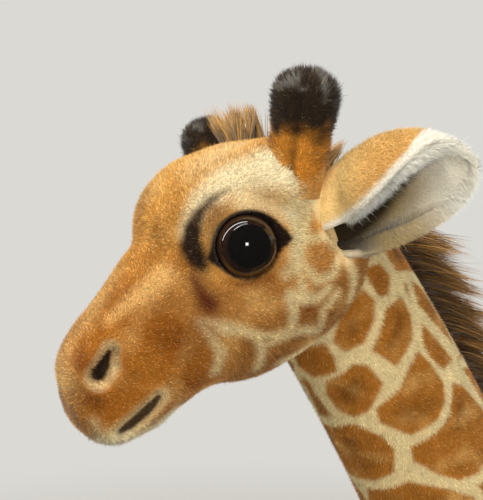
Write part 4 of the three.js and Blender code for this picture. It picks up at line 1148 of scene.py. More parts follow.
# %% Strands scattered over a grid
def scatter(grid, normals, density):
    """Places spread evenly over a grid by a density in strands per square millimetre, in the grid's order."""
    rows, around = grid.shape[:2]
    r, c = np.meshgrid(np.arange(rows - 1), np.arange(around), indexing="ij")
    r, c = r.ravel(), c.ravel()
    d = (c + 1) % around
    corners = [grid[r, c], grid[r, d], grid[r + 1, c], grid[r + 1, d]]
    area = np.linalg.norm(np.cross(corners[3] - corners[0], corners[2] - corners[1]), axis=1) / 2
    shares = np.stack([r / (rows - 1), c / around], 1)
    sums = np.cumsum(area * density(sum(corners) / 4, shares))
    count = int(sums[-1])
    pick = np.searchsorted(sums, (np.arange(count) + random.random(count)) * sums[-1] / count)
    pick = np.minimum(pick, len(r) - 1)
    s, t = random.random((count, 1)), random.random((count, 1))
    weights = [(1 - s) * (1 - t), (1 - s) * t, s * (1 - t), s * t]
    points = sum(w * corner[pick] for w, corner in zip(weights, corners))
    leans = [normals[r, c], normals[r, d], normals[r + 1, c], normals[r + 1, d]]
    normal = unit(sum(w * lean[pick] for w, lean in zip(weights, leans)))
    return points, normal, shares[pick] + np.hstack([s / (rows - 1), t / around])


NAP_SWIRL, LEAN_SPREAD = 0.35, 0.18  # how far the nap wanders, and how much one strand's lean differs


def combed(normals, flow, lean, points, seed, tangle):
    """Directions that stand up from the skin and lie over along the nap, uneven as real pile is."""
    waves = np.stack([mottle(points, 7, seed + k) for k in range(3)], 1)
    along_skin = flow + NAP_SWIRL * waves
    along_skin = unit(along_skin - normals * (along_skin * normals).sum(1, keepdims=True))
    lean = np.radians(np.broadcast_to(lean, len(points)))[:, None]
    lean = lean * (1 + LEAN_SPREAD * random.normal(size=(len(points), 1)))
    way = normals * np.cos(lean) + along_skin * np.sin(lean)
    return unit(way + tangle * random.normal(size=way.shape) * 0.6)

# %% A mesh of strands
# Corners round a strand, across it and out from the skin: a closed spike, or a flat blade
STRAND_CORNERS = {3: np.array([(-0.5, 0.2), (0.5, 0.2), (0, -0.45)]), 2: np.array([(-0.5, 0), (0.5, 0)])}
NORMAL_SPREAD = 0.12  # how much one strand's normal differs


def strand_mesh(name, roots, ways, normals, length, width, root_colour, tip_colour, steps=1, droop=0.0,
                soften=0.8, dark_share=1.0, sides=3):
    """Pointed strands of one or more steps. Their front faces outward, and a spike is closed all round."""
    count = len(roots)
    side = unit(np.cross(ways, normals) + 0.35 * random.normal(size=ways.shape))
    face = np.cross(side, ways)
    length = np.broadcast_to(length, count)[:, None]
    width = np.broadcast_to(width, count)[:, None]
    corners = STRAND_CORNERS[sides]
    points = np.empty((count, sides * steps + 1, 3))
    share = np.ones(sides * steps + 1)
    for j in range(steps):
        t = j / steps
        middle = roots + length * (ways * t + droop * t * t)
        for k, (across, out) in enumerate(corners):
            points[:, sides * j + k] = middle + (side * across + face * out) * width * (1 - 0.5 * t)
            share[sides * j + k] = t
    points[:, -1] = roots + length * (ways + droop)
    base = np.arange(count)[:, None] * (sides * steps + 1)
    turns = [(k, (k + 1) % sides) for k in range(sides if sides > 2 else 1)]
    quads = [base + np.array([k, m, sides + m, sides + k]) + sides * j for j in range(steps - 1) for k, m in turns]
    tips = [base + np.array([sides * (steps - 1) + k, sides * (steps - 1) + m, sides * steps]) for k, m in turns]
    faces = ([np.concatenate(quads)] if quads else []) + [np.concatenate(tips)]
    cells = math.ceil(math.sqrt(count))
    across = np.array([*(0.14, 0.86, 0.5)[:sides] * steps, 0.5])
    column, row = np.arange(count) % cells, np.arange(count) // cells
    uv = np.stack([(column[:, None] + across) / cells, (row[:, None] + 0.1 + 0.8 * share) / cells], -1)
    colour = root_colour[:, None] + (tip_colour - root_colour)[:, None] * share[None, :, None] ** dark_share
    soft = unit(normals * soften + face * (1 - soften) + NORMAL_SPREAD * random.normal(size=face.shape))
    made = new_mesh(name, points.reshape(-1, 3), faces, np.clip(colour.reshape(-1, 3), 0, 1), uv.reshape(-1, 2),
                    np.repeat(soft, sides * steps + 1, axis=0))
    print(name, count, "strands,", sum(len(f) for f in faces), "faces")
    return made

# %% [markdown]
# ## Materials
#
# Velboa scatters light from the sides of its fibres, so it has no shine but a soft glow at its edges: high
# roughness and some sheen. The sprayed coat comes from the colours on the mesh, and fine noise breaks it up, since
# fibres take dye unevenly. The eyes are polished acrylic and the inner hardware is moulded plastic and drawn wire.

# %% Helpers for nodes
def add_node(tree, kind, settings=None, ordered=(), **links):
    """One shader node, linked to its sockets in order or by name. A node as a source gives its first output."""
    made = tree.nodes.new("ShaderNode" + kind)
    for name, value in (settings or {}).items():
        if name in made.inputs:
            made.inputs[name].default_value = value
        else:
            setattr(made, name, value)
    named = [(name.replace("_", " "), source) for name, source in links.items()]
    for socket, source in [*enumerate(ordered), *named]:
        tree.links.new(getattr(source, "outputs", [source])[0], made.inputs[socket])
    return made


def start_material(name):
    material = bpy.data.materials.new(name)
    material.use_nodes = True
    material.node_tree.nodes.clear()
    return material, material.node_tree


def add_noise(tree, size_mm, detail, stretch=(1, 1, 1)):
    """Noise that is fixed to the piece, with lumps of a size in millimetres."""
    place = add_node(tree, "TexCoord")
    drawn = add_node(tree, "Mapping", {"Scale": stretch}, Vector=place.outputs["Object"])
    return add_node(tree, "TexNoise", {"Scale": 1000 / size_mm, "Detail": detail}, Vector=drawn)


def uneven_coat(tree, noise, levels, unevenness):
    """The colours on the mesh, darker and lighter between two levels of noise."""
    coat_colour = add_node(tree, "VertexColor", {"layer_name": "coat"})
    shade = add_node(tree, "MapRange", {"From Min": levels[0], "From Max": levels[1], "To Min": 1 - unevenness,
                                        "To Max": 1 + unevenness}, Value=noise)
    return add_node(tree, "VectorMath", {"operation": "SCALE"}, (coat_colour,), Scale=shade)


def grain_ramp(tree, grain, hex_colour, stops):
    """One colour made darker and lighter by grain. Each stop is a level of the grain and a share of the colour."""
    ramp = add_node(tree, "ValToRGB", Fac=grain)
    for stop, (level, share) in zip(ramp.color_ramp.elements, stops):
        stop.position = level
        stop.color = (*np.clip(linear(hex_colour) * share, 0, 1), 1)
    return ramp

# %% Plush materials
def dyed_pile(name, fibre_mm, unevenness, roughness=0.9, sheen=0.1, bump=0.0):
    """A material for pile: the mesh's coat, broken up by noise at the fibres' size and in larger lumps."""
    material, tree = start_material(name)
    fibres = add_noise(tree, fibre_mm, 3.0)
    both = add_node(tree, "Math", {"operation": "ADD"}, (fibres, add_noise(tree, fibre_mm * 9, 2.0)))
    shader = add_node(tree, "BsdfPrincipled", {
        "Roughness": roughness, "Sheen Weight": sheen, "Sheen Roughness": 0.45, "Specular IOR Level": 0.15,
    }, Base_Color=uneven_coat(tree, both, (0.6, 1.4), unevenness))
    if bump:
        height = add_node(tree, "Bump", {"Strength": 0.8, "Distance": bump * MM}, Height=fibres)
        tree.links.new(height.outputs[0], shader.inputs["Normal"])
    add_node(tree, "OutputMaterial", Surface=shader)
    return material


# The knit between the strands' roots: dull and rough, and its colour carries the roots' painted shade, so that the
# gaps in the pile look deep
plush_skin = dyed_pile("velboa_knit_and_pile_roots", 0.5, 0.22, bump=0.5)
# Cut pile shows fibre ends, which give no shine, only a faint glow where the form turns away
plush_pile = dyed_pile("velboa_cut_pile", 0.35, 0.2)
# Combed fibres lie side by side, so light runs along them and the locks look silkier than the coat
long_pile = dyed_pile("long_combed_pile", 0.5, 0.22, roughness=0.6, sheen=0.15)
# Brushed white pile passes light from fibre to fibre, so it glows and its shadows stay pale
white_pile = dyed_pile("white_brushed_pile", 0.6, 0.1, sheen=0.7)

# %% Polished and moulded materials
def moulded(name, hex_colour, roughness, grain_mm, unevenness, metallic=0.0, stretch=(1, 1, 1)):
    """A hard material whose colour and roughness vary a little, at a grain given in millimetres."""
    material, tree = start_material(name)
    grain = add_noise(tree, grain_mm, 4.0, stretch)
    colour = grain_ramp(tree, grain, hex_colour, ((0.3, 1 - unevenness), (0.7, 1 + unevenness)))
    rough = add_node(tree, "MapRange", {"To Min": roughness * 0.8, "To Max": min(1, roughness * 1.25)}, Value=grain)
    height = add_node(tree, "Bump", {"Strength": 0.25, "Distance": 0.05 * MM}, Height=grain)
    shader = add_node(tree, "BsdfPrincipled", {"Metallic": metallic, "IOR": 1.5}, Base_Color=colour,
                      Roughness=rough, Normal=height)
    add_node(tree, "OutputMaterial", Surface=shader)
    return material


# Black acrylic from a polished mould: a thin bright line where the backing's rim turns
black_acrylic = moulded("black_moulded_acrylic", "#15100d", 0.22, 0.8, 0.3)
# Natural nylon from a matt mould: waxy, with no clear reflection
natural_nylon = moulded("natural_moulded_nylon", "#d8d5cc", 0.45, 1.2, 0.06)
# Wire pulled through a die: its grain is drawn out, so highlights streak
drawn_wire = moulded("drawn_steel_wire", "#8d9094", 0.38, 0.6, 0.12, metallic=1.0, stretch=(1, 1, 0.15))


def polished_eye(name):
    """Acrylic, moulded clear and polished, painted behind: sharp mirrored lamps over a dark, deep brown.

    The paint is drawn on the dome, under a clear coat."""
    material, tree = start_material(name)
    paint = uneven_coat(tree, add_noise(tree, 1.1, 3.0), (0.3, 0.7), 0.25)
    shader = add_node(tree, "BsdfPrincipled", {
        "Roughness": 0.035, "IOR": 1.49, "Coat Weight": 0.5, "Coat Roughness": 0.02,
    }, Base_Color=paint)
    add_node(tree, "OutputMaterial", Surface=shader)
    return material


painted_acrylic = polished_eye("polished_acrylic_painted_behind")


def refinish(node_name, material):
    """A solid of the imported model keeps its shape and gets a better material."""
    materials = frame["nodes"][node_name].data.materials
    materials.clear()
    materials.append(material)


for side_name in SIDES:
    refinish(side_name + "_eye_backing", black_acrylic)
    refinish(side_name + "_eye_washer", natural_nylon)
refinish("wire_frame", drawn_wire)

# %% Every piece gets its material and its body here, and the solids it replaces are hidden
def settle(piece, body, material, replaced=()):
    piece.data.materials.append(material)
    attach(piece, body)
    if replaced:
        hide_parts(*replaced)

# %% A skin with its pile
# painted shade at a strand's root, where the pile shades itself, and painted light at its tip to make up for that
# shade
PAINTED_ROOT_SHADE, PAINTED_TIP_LIGHT = 0.86, 1.24  # a strand is darker at its root and lighter at its tip
STRAND_LENGTHS = (0.75, 1.15)  # the shortest and the longest, as shares
# painted highlights: a share of the strands get a lighter, golden colour, and this much is added to it
PAINTED_GLINT_SHARE, PAINTED_GLINT_LEVEL = 0.06, 0.68  # how many strands catch the light, and how much they add
PAINTED_GLINT_TONE = np.array([1, 0.8, 0.38])
# the strands with a painted highlight are also shaped apart
GLINT_WIDTH, GLINT_LENGTH, GLINT_LEAN = 1.7, 0.8, 0.35  # as shares of the other strands'
STRAY_SHARE, STRAY_LENGTH, STRAY_LEAN = 0.025, 1.5, 0.7  # strands that stand out from the nap


def flocked(name, grid, colour, flow, density, length, keep=None, body="stuffed_body",
            lean=44, width=0.17, seed=50, parts=1, pile=plush_pile, tangle=0.4, unevenness=0.1,
            stray_length=STRAY_LENGTH, painted_glints=PAINTED_GLINT_SHARE):
    """The sewn skin that stands for the solid of that name, and the pile on it.

    Dense pile is shared out over parts, so that each has a map of its own."""
    rows, around = grid.shape[:2]
    r, c = np.meshgrid(np.arange(rows) / (rows - 1), np.arange(around) / around, indexing="ij")
    # the knit under the pile takes the painted shade of the strands' roots
    skin_colour = colour(grid.reshape(-1, 3), np.stack([r.ravel(), c.ravel()], 1)) * PAINTED_ROOT_SHADE
    skin_colour = np.vstack([skin_colour, skin_colour[:around].mean(0), skin_colour[-around:].mean(0)])
    settle(skin_mesh(name + "_skin", grid, skin_colour), body, plush_skin, [name])
    points, normal, shares = scatter(grid, normals_of(grid), density)
    if keep is not None:
        kept = keep(points)
        points, normal, shares = points[kept], normal[kept], shares[kept]
    root = colour(points, shares)
    uneven = 1 + unevenness * random.normal(size=(len(points), 1))
    stray = random.random(len(points)) < STRAY_SHARE
    painted_glint_strand = random.random(len(points)) < painted_glints
    leaned = lean * np.where(painted_glint_strand, GLINT_LEAN, np.where(stray, STRAY_LEAN, 1))
    way = combed(normal, flow(points, normal, shares), leaned, points, seed, tangle)
    shortest, longest = STRAND_LENGTHS
    size = length(points, shares) * (shortest + (longest - shortest) * random.random(len(points)))
    size = size * np.where(stray, stray_length, 1) * np.where(painted_glint_strand, GLINT_LENGTH, 1)
    # painted highlight: these strands' colour is made lighter and golden
    painted_glint = PAINTED_GLINT_LEVEL * painted_glint_strand[:, None] * np.sqrt(root.mean(1, keepdims=True)) * PAINTED_GLINT_TONE
    low, high = root * PAINTED_ROOT_SHADE * uneven + painted_glint / 2, root * PAINTED_TIP_LIGHT * uneven + painted_glint
    thick = np.where(painted_glint_strand, GLINT_WIDTH, 1) * width
    for part in range(parts):
        own = slice(part, None, parts)
        part_name = f"{name}_pile" + (f"_{part + 1}" if parts > 1 else "")
        strands = strand_mesh(part_name, *(each[own] for each in (points, way, normal, size, thick, low, high)))
        settle(strands, body, pile)


def on_form(colour):
    """A colour that depends on the place alone."""
    return lambda points, shares: colour(points)


def even(value):
    """A length or a density that is the same all over a piece."""
    return lambda points, shares: np.full(len(points), value)


def steady(*direction):
    """A nap that runs one way."""
    return lambda points, normal, shares: np.tile(np.array(direction, float), (len(points), 1))

# %% [markdown]
# ## The stuffed pieces and their nap
#
# The nap runs from the nose back over the head, down the neck, back over the torso and down the legs. It lies over
# by 36 to 46 degrees, and by more on the hooves and the tail's tuft. Round the eyes it is clipped short and combed
# away from the plastic. Strands whose roots would be inside a neighbouring piece are left out.

# %% Room for the ears to flex
EAR_PLACES = (-1.0, -0.6, -0.3, 0.0, 0.4, 0.7, 1.0)  # shares of the way to the joint's lowest and highest turn
EAR_CLEAR, EAR_ROOM = 0.9, 3.2  # millimetres from the ear's path where pile is a stubble, and where it is full
EAR_NEAR = 32.0  # millimetres from the hinge: no ear passes further off
FAR = 99.0
STUBBLE = 0.12  # as a share of the full length
EAR_GAP = 0.3
LINING_INSET = EAR_BACK_THICKNESS + EAR_GAP
flex = next(joint for joint in frame["joints"] if joint["name"] == "left_ear_flex")
pivot = np.array(flex["pos_m"]) / MM


def ear_grids(side):
    """The back and the lining of an ear."""
    return (ear_sheet(0, EAR_BACK_THICKNESS, EAR_ROOT_PLACE, 1.0, side),
            ear_sheet(LINING_INSET, LINING_INSET + EAR_LINING_THICKNESS, *LINING_REACH, side))


def flexed(points, share):
    """Points of the left ear, turned by a share of its joint's range."""
    degrees = abs(share) * flex["range_deg"][0 if share < 0 else 1]
    turn = np.array(Matrix.Rotation(math.radians(degrees), 3, Vector(flex["axis"])))
    return (points - pivot) @ turn.T + pivot


left_leaf = np.vstack([sheet[::2, ::2].reshape(-1, 3) for sheet in ear_grids(1)])
path_of_leaf = np.concatenate([flexed(left_leaf, share) for share in EAR_PLACES])
leaf_tree = kdtree.KDTree(len(path_of_leaf))
for index, point in enumerate(path_of_leaf):
    leaf_tree.insert(point, index)
leaf_tree.balance()


def pile_left(gap):
    """The share of its length that pile keeps at a distance from what passes over it."""
    return STUBBLE + (1 - STUBBLE) * smoothstep(EAR_CLEAR, EAR_ROOM, gap)


def ear_room(points):
    """A share of the pile's length: short where an ear's leaf passes over it."""
    left = near_side(points)
    near = np.linalg.norm(left - pivot, axis=1) < EAR_NEAR
    gap = np.full(len(points), FAR)
    gap[near] = [leaf_tree.find(point)[2] for point in left[near]]
    return pile_left(gap)


horn_rod = [(*HORN_IN_HEAD, HORN_DIAMETER / 2), (*(HORN_IN_HEAD + HORN_LENGTH * horn_axis), HORN_DIAMETER / 2)]


def leaf_room(points):
    """The same for the pile on a leaf, short where it comes against the horn or the head."""
    gap = np.full(len(points), FAR)
    for share in (-1, 1):
        moved = flexed(near_side(points), share)
        from_head = (depth_in_head(moved) - 1) * HEAD_WIDTH / 4
        gap = np.minimum(gap, np.minimum(distance_to_line(toy_to_head(moved), horn_rod), from_head))
    return pile_left(gap)

# %% Strands that neighbouring pieces leave no room for
def outside(share, *forms):
    """Keeps strands whose roots lie outside other forms, or in the outermost share of them."""
    return lambda points: np.all([form(points) > share for form in forms], axis=0)


def inside_neck(points, share):
    """Where points lie inside a share of the neck, between its ends."""
    place, _ = neck_coordinates(points)
    return (depth_in_neck(points) < share) & (place > 0.01) & (place < 0.998)

# %% Head
def head_flow(points, normal, shares):
    p = toy_to_head(points)
    wide, _, _ = around_eye(p)
    flow = np.stack([0 * wide, np.ones(len(p)), -0.4 * np.abs(p[:, 0]) / 20], 1)
    away = unit(p - own_side(p, EYE_IN_HEAD))
    near = ((1 - smoothstep(9, 14, wide)) * on_cheek(p))[:, None]
    return (flow * (1 - 0.8 * near) + away * near) @ head_turn.T


def head_length(points, shares):
    p = near_side(toy_to_head(points))
    wide, _, _ = around_eye(p)
    length = np.interp(p[:, 1], [0, 20, 45], [0.95, 1.0, 1.15])
    chin = 1 - smoothstep(0, 5, np.linalg.norm(p - [5, 8, -21], axis=1) - 8)
    length = (length + 0.4 * chin) * ear_room(points)
    clipped = 1 - smoothstep(8.5, 12.5, wide)
    folds = np.maximum(brushed(p, nostril_line, 2), brushed(p, mouth_line, 1.6))
    return length * (1 - 0.5 * clipped) * (1 - 0.75 * folds)


LENS_EDGE = 7.7  # no strand grows nearer the eye's axis


def head_keep(points):
    wide, _, _ = around_eye(toy_to_head(points))
    return ((wide > LENS_EDGE) | ~on_cheek(points)) & ~inside_neck(points, 0.93)


def head_density(points, shares):
    """Denser on the side that the camera sees closest."""
    return np.where(points[:, 0] > -6, 15.0, 6.0)


head_in_toy = head_to_toy(head_grid.reshape(-1, 3)).reshape(head_grid.shape)
flocked("head", head_in_toy, on_form(head_colour), head_flow, head_density, head_length, head_keep, lean=36,
        width=0.155, seed=51, parts=4, unevenness=0.24, painted_glints=0.11)

# %% Neck
def neck_flow(points, normal, shares):
    lean = np.radians(np.interp(shares[:, 0], [0, 1], NECK_LEAN))
    return np.stack([0 * lean, np.sin(lean), -np.cos(lean)], 1)


def neck_density(points, shares):
    return np.where((points[:, 0] > -4) & (shares[:, 0] > 0.5), 11.0, 4.5)


flocked("neck", neck_grid, on_form(neck_colour), neck_flow, neck_density, even(1.25),
        outside(0.95, depth_in_head, depth_in_torso), seed=54, width=0.165, lean=40, parts=3, unevenness=0.16)

# %% Torso and legs
BODY_STRAND, LEG_STRAND, HOOF_STRAND = 2.2, 2.0, 1.2
BODY_STRAND_WIDTH, BODY_DENSITY = 0.3, 4.0  # coarser than on the head, which the camera sees close


def hoof_density(points, shares):
    """None on the sole."""
    return np.where(points[:, 2] > 1.5, 4.5, 0)


flocked("torso", torso_grid, on_form(body_colour), steady(0, 1, -0.35), even(BODY_DENSITY), even(BODY_STRAND),
        lambda points: ~inside_neck(points, 0.94), width=BODY_STRAND_WIDTH, seed=57, parts=2)
for which in leg_y:
    for side_name, side in SIDES.items():
        name = f"{which}_{side_name}"
        flocked(name + "_leg", leg_grid(which, side), on_form(leg_colour), steady(0, 0, -1), even(BODY_DENSITY),
                even(LEG_STRAND), outside(0.96, depth_in_torso), width=BODY_STRAND_WIDTH, seed=60)
        flocked(name + "_hoof", hoof_grid(which, side), on_form(hoof_colour), steady(0, 0, -1), hoof_density,
                even(HOOF_STRAND), width=0.24, lean=62, seed=61)

# %% Horns
def horn_flow(points, normal, shares):
    return np.tile(horn_axis, (len(points), 1)) @ head_turn.T


def horn_length(points, shares):
    """The dark top is brushed up, and stands out past the clipped lower half."""
    length = 1.4 + 0.8 * smoothstep(0.5, 0.75, shares[:, 0])
    return length * ear_room(points) * (1 - 0.5 * on_horn_seam(toy_to_head(points)))


for side_name, side in SIDES.items():
    flocked(side_name + "_horn", horn_grid(side), on_form(horn_colour), horn_flow, even(9.0), horn_length,
            outside(0.95, depth_in_head), lean=36, seed=65, unevenness=0.3)

# %% Ears
def ear_flow(points, normal, shares):
    """Toward the tip, and outward over the rim."""
    tip = head_turn @ (ear_frame(np.array([[0, 1.0, 0]])) - ear_frame(np.zeros((1, 3))))[0]
    return own_side(points, tip) + 0.25 * unit(points - points.mean(0))


def lining_length(points, shares):
    """The white pile stands past the rim, and longest at the tip."""
    turn = across_leaf(shares)
    rim = np.maximum(1 - smoothstep(0.02, 0.1, turn), smoothstep(0.9, 1, turn))
    return (1.3 + 2.0 * np.maximum(rim, smoothstep(0.8, 1, shares[:, 0]))) * leaf_room(points)


def lining_density(points, shares):
    turn = across_leaf(shares)
    return 10 + 14 * np.maximum(1 - smoothstep(0.02, 0.09, turn), smoothstep(0.92, 1, turn))


def lining_flow(points, normal, shares):
    """At the upper rim the pile lies down over the black fold."""
    turn = across_leaf(shares)[:, None]
    rim = 1 - smoothstep(0, 0.12, turn) + smoothstep(0.85, 1, turn)
    return ear_flow(points, normal, shares) + rim * [0, 0, -1.1]


for side_name, side in SIDES.items():
    ear = side_name + "_ear"
    back_sheet, lining_sheet = ear_grids(side)
    flocked(ear + "_back", back_sheet, ear_back_colour, ear_flow, even(10.0),
            lambda points, shares: 1.15 * leaf_room(points), outside(0.95, depth_in_head), ear,
            lean=46, seed=68, width=0.16)
    flocked(ear + "_lining", lining_sheet, ear_lining_colour, lining_flow, lining_density, lining_length,
            outside(0.95, depth_in_head), ear, lean=46, width=0.16, seed=69, pile=white_pile,
            unevenness=0.05, tangle=0.22)

# %% [markdown]
# ## Mane, forelock and tail
#
# The mane is a strip of long pile sewn along the ridge of the neck. Its fibres are dyed dark brown and fade to gold
# at the tips. Long pile gathers in locks: fibres that start close together lie the same way, and each lock has
# a length and a shade of its own.

# %% Locks of long pile
def locks_of(places, size, seed):
    """The number of each fibre's lock, and a random row that all fibres of a lock share."""
    cells = np.floor(places / size).astype(int).reshape(len(places), -1)
    _, lock = np.unique(cells, axis=0, return_inverse=True)
    lock = lock.ravel()
    return lock, np.random.default_rng(seed).normal(size=(lock.max() + 1, 5))[lock]


def to_lock(points, lock):
    """From each root toward the middle of its own lock, in millimetres."""
    count = np.bincount(lock)
    middle = np.stack([np.bincount(lock, points[:, axis]) / count for axis in range(3)], 1)
    return middle[lock] - points


MANE_STRAND = 18.5
MANE_STRIP = (4.2, 7.2)  # half width of the strip at the chest and under the skull


def mane_density(points, shares):
    strip = np.interp(shares[:, 0], [0.4, 0.95], MANE_STRIP)
    on_strip = (np.abs(points[:, 0]) < strip) & (np.abs(shares[:, 1] - 0.5) < 0.2)
    return np.where(on_strip, 13.0, 0)


points, normal, shares = scatter(neck_grid, normals_of(neck_grid), mane_density)
kept = outside(0.9, depth_in_head, depth_in_torso)(points)
points, normal, shares = points[kept], normal[kept], shares[kept]
place_mm = shares[:, 0] * NECK_LENGTH + 0.7 * mottle(points, 5, 71)
wisp, lock = locks_of(np.column_stack([place_mm, points[:, 0]]), (2.6, 3.4), 72)
_, finer = locks_of(place_mm + points[:, 0] * 0.9, 0.8, 73)
down = neck_flow(points, normal, shares)
side_lean = np.zeros_like(points)
side_lean[:, 0] = 0.16 * lock[:, 1] + 0.1 * finer[:, 1] + 0.03 * points[:, 0]
way = unit(normal * (0.9 + 0.08 * lock[:, :1]) + down * (0.66 + 0.1 * lock[:, 2:3]) + side_lean
           + 0.04 * to_lock(points, wisp) + 0.08 * random.normal(size=points.shape))
length = MANE_STRAND * (0.86 + 0.07 * lock[:, 3] + 0.06 * finer[:, 3] + 0.12 * random.normal(size=len(points)))
length *= smoothstep(-0.02, 0.12, shares[:, 0]) * 0.4 + 0.6
length *= 1 + 0.2 * smoothstep(0.45, 0.8, shares[:, 0])
shade = (1 + 0.1 * lock[:, 4:5] + 0.12 * random.normal(size=(len(points), 1))).clip(0.5, 1.6)
root = plain("mane root", points) * shade
tip = tinted(plain("mane tip", points), ("patch core", random.random(len(points)) * 0.6))
mane = strand_mesh("mane_locks", points, way, normal, length, 0.3, root, tip * shade, steps=3,
                   droop=0.12 * down + [0, 0, -0.14], soften=0.45, dark_share=0.66, sides=2)
settle(mane, "stuffed_body", long_pile, ["mane"])

# %% Forelock
FORELOCK_STRAND, FORELOCK_HALF = 11.5, 4.5  # length of a strand, half width of the tuft
FORELOCK_BACK = 0.762 * HEAD_LENGTH
FORELOCK_SET_BACK = 3.8  # from the middle of its seam
NAPE_BACK, NAPE_STRAND = 84.0, 14.0


def forelock_density(points, shares):
    p = toy_to_head(points)
    from_seam = np.abs(p[:, 1] - FORELOCK_BACK - FORELOCK_SET_BACK)
    front = (np.abs(p[:, 0]) < FORELOCK_HALF) & (from_seam < FORELOCK_HALF) & (p[:, 2] > 10)
    nape = (np.abs(p[:, 0]) < 5) & (p[:, 1] > NAPE_BACK) & (p[:, 2] > -4)
    return np.where(front, 11.0, np.where(nape, 9.0, 0))


points, normal, shares = scatter(head_in_toy, normals_of(head_in_toy), forelock_density)
p = toy_to_head(points)
wisp, lock = locks_of(p[:, :2], (2.4, 2.6), 75)
at_nape = p[:, 1] > NAPE_BACK
outward = np.stack([0.05 * p[:, 0], 0.02 * (p[:, 1] - FORELOCK_BACK - FORELOCK_SET_BACK) + 0.1, np.ones(len(p))], 1)
outward[at_nape] = [0, 0.85, 0.6]
outward = outward @ head_turn.T
way = unit(outward + 0.17 * lock[:, :3] + 0.07 * to_lock(points, wisp) + 0.06 * random.normal(size=points.shape))
length = np.where(at_nape, NAPE_STRAND, FORELOCK_STRAND)
length = length * (0.85 + 0.16 * lock[:, 3] + 0.1 * random.normal(size=len(points))).clip(0.4, 1.15)
shade = (1 + 0.1 * lock[:, 4:5] + 0.14 * random.normal(size=(len(points), 1))).clip(0.5, 1.6)
root = tinted(plain("forelock", points), ("mane root", np.full(len(points), 0.26)))
tip = plain("forelock", points) * 1.35
forelock = strand_mesh("forelock_locks", points, way, normal, length, 0.26, root * shade, tip * shade, steps=3,
                       droop=np.tile([0, 0, -0.08], (len(points), 1)), soften=0.45)
settle(forelock, "stuffed_body", long_pile, ["forelock"])

# %% Tail cord and tuft
flocked("tail_cord", tail_grid, on_form(tail_colour), steady(0, 0.05, -1), even(5.0), even(1.6),
        outside(0.96, depth_in_torso), "tail", width=0.26, seed=78)
tuft_sections = [[0.02, 0.3], [0.12, 0.34], [0.32, 0.38], [0.55, 0.36], [0.75, 0.26], [0.88, 0.12]]
tuft_places = np.linspace(tuft_sections[0][0], tuft_sections[-1][0], 40)
tuft_radius = along(tuft_sections, tuft_places, 1) * TUFT_DIAMETER
tuft_centres = tail_centres[-1] + np.stack([0 * tuft_places, 0 * tuft_places, -0.3 - tuft_places * TUFT_LENGTH], 1)
tuft_grid = tube(tuft_centres, LEFTWARD, BACKWARD, tuft_radius, 48)


def tuft_colour(points):
    return tinted(plain("mane root", points), ("patch core", 0.3 + 0.3 * mottle(points, 6, 80)))


def tuft_length(points, shares):
    """A little shorter at the tip, where the strands would else trail."""
    return np.interp(shares[:, 0], [0.6, 1], [8.0, 7.0])


flocked("tail_tuft", tuft_grid, on_form(tuft_colour), steady(0, 0, -1), even(6.0), tuft_length, body="tail",
        lean=76, width=0.32, seed=81, tangle=0.2, stray_length=1.0)

# %% [markdown]
# ## Eyes
#
# A domed lens of clear acrylic, painted behind: a black pupil and a thin dark brown ring. It bends the picture of
# its paint out to the rim, so painting the dome itself looks the same. It is turned on a lathe here, and the black
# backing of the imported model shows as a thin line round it.

# %% Eye domes
DOME_BASE, DOME_HEIGHT = 1.9, 5.4
PUPIL_RADIUS, PUPIL_STEP = 5.2, 0.07  # the pupil's edge stands up by a hair and catches the light
DOME_UNDERSIDE = [0.1, 3, 6, 7.2]  # radii of the rings that close it below
RING_INNER, RING_OUTER = (6.4, 7.0), (7.15, 7.4)  # where the paint of the ring comes and goes
dome_around = 96
dome_angle = np.linspace(0, np.pi / 2 - 0.02, 106)
dome_radius = EYE_RADIUS * np.cos(dome_angle)
dome_height = DOME_BASE + DOME_HEIGHT * np.sin(dome_angle)
dome_height -= PUPIL_STEP * smoothstep(PUPIL_RADIUS - 0.1, PUPIL_RADIUS + 0.25, dome_radius)
dome_radius = np.append(DOME_UNDERSIDE, dome_radius)
dome_height = np.append(np.full(len(DOME_UNDERSIDE), DOME_BASE), dome_height)
dome = tube(EYE_IN_HEAD + dome_height[:, None] * eye_out, eye_back, eye_up, dome_radius, dome_around)
wide = np.append(np.repeat(dome_radius, dome_around), [0, 0])
paint = tinted(
    plain("eye brown", wide),
    ("eye ring", 0.9 * smoothstep(*RING_INNER, wide) * (1 - smoothstep(*RING_OUTER, wide))),
    ("pupil", 1 - smoothstep(PUPIL_RADIUS - 0.15, PUPIL_RADIUS + 0.25, wide)),
)
for side_name, side in SIDES.items():
    dome_in_toy = head_to_toy((dome * [side, 1, 1]).reshape(-1, 3)).reshape(dome.shape)
    settle(skin_mesh(side_name + "_eye_dome", dome_in_toy, paint), "stuffed_body", painted_acrylic,
           [side_name + "_eye_lens"])
for piece in bpy.context.scene.objects:
    if piece.name.endswith(("_skin", "_dome")):
        piece.data.shade_smooth()

# %% [markdown]
# ## Floor, light and backdrop
#
# A pale floor fades into the backdrop. The key lamp is large and soft, above the camera and a little to its left.
# A weak lamp fills in from the camera's right, and a third one rims the toy from behind. The eyes mirror three
# small lamps only: one near the camera for the bright point, one round it for the point's glow, and a long narrow
# one high at the left for the arc near the dome's edge.

# %% Floor
FLOOR_RADIUS, FADE_START = 1.1, 0.55
BACKDROP, FLOOR = "#dbd9d4", "#c9c6c0"
FLOOR_CORNERS = 96
FLOOR_GRAINS_PER_METRE = 240
turns = np.linspace(0, 2 * np.pi, FLOOR_CORNERS, endpoint=False)
floor_points = np.column_stack([np.cos(turns), np.sin(turns), 0 * turns]) * FLOOR_RADIUS
floor_data = bpy.data.meshes.new("floor")
floor_data.from_pydata(floor_points.tolist(), [], [list(range(FLOOR_CORNERS))])
floor = put("floor", floor_data)
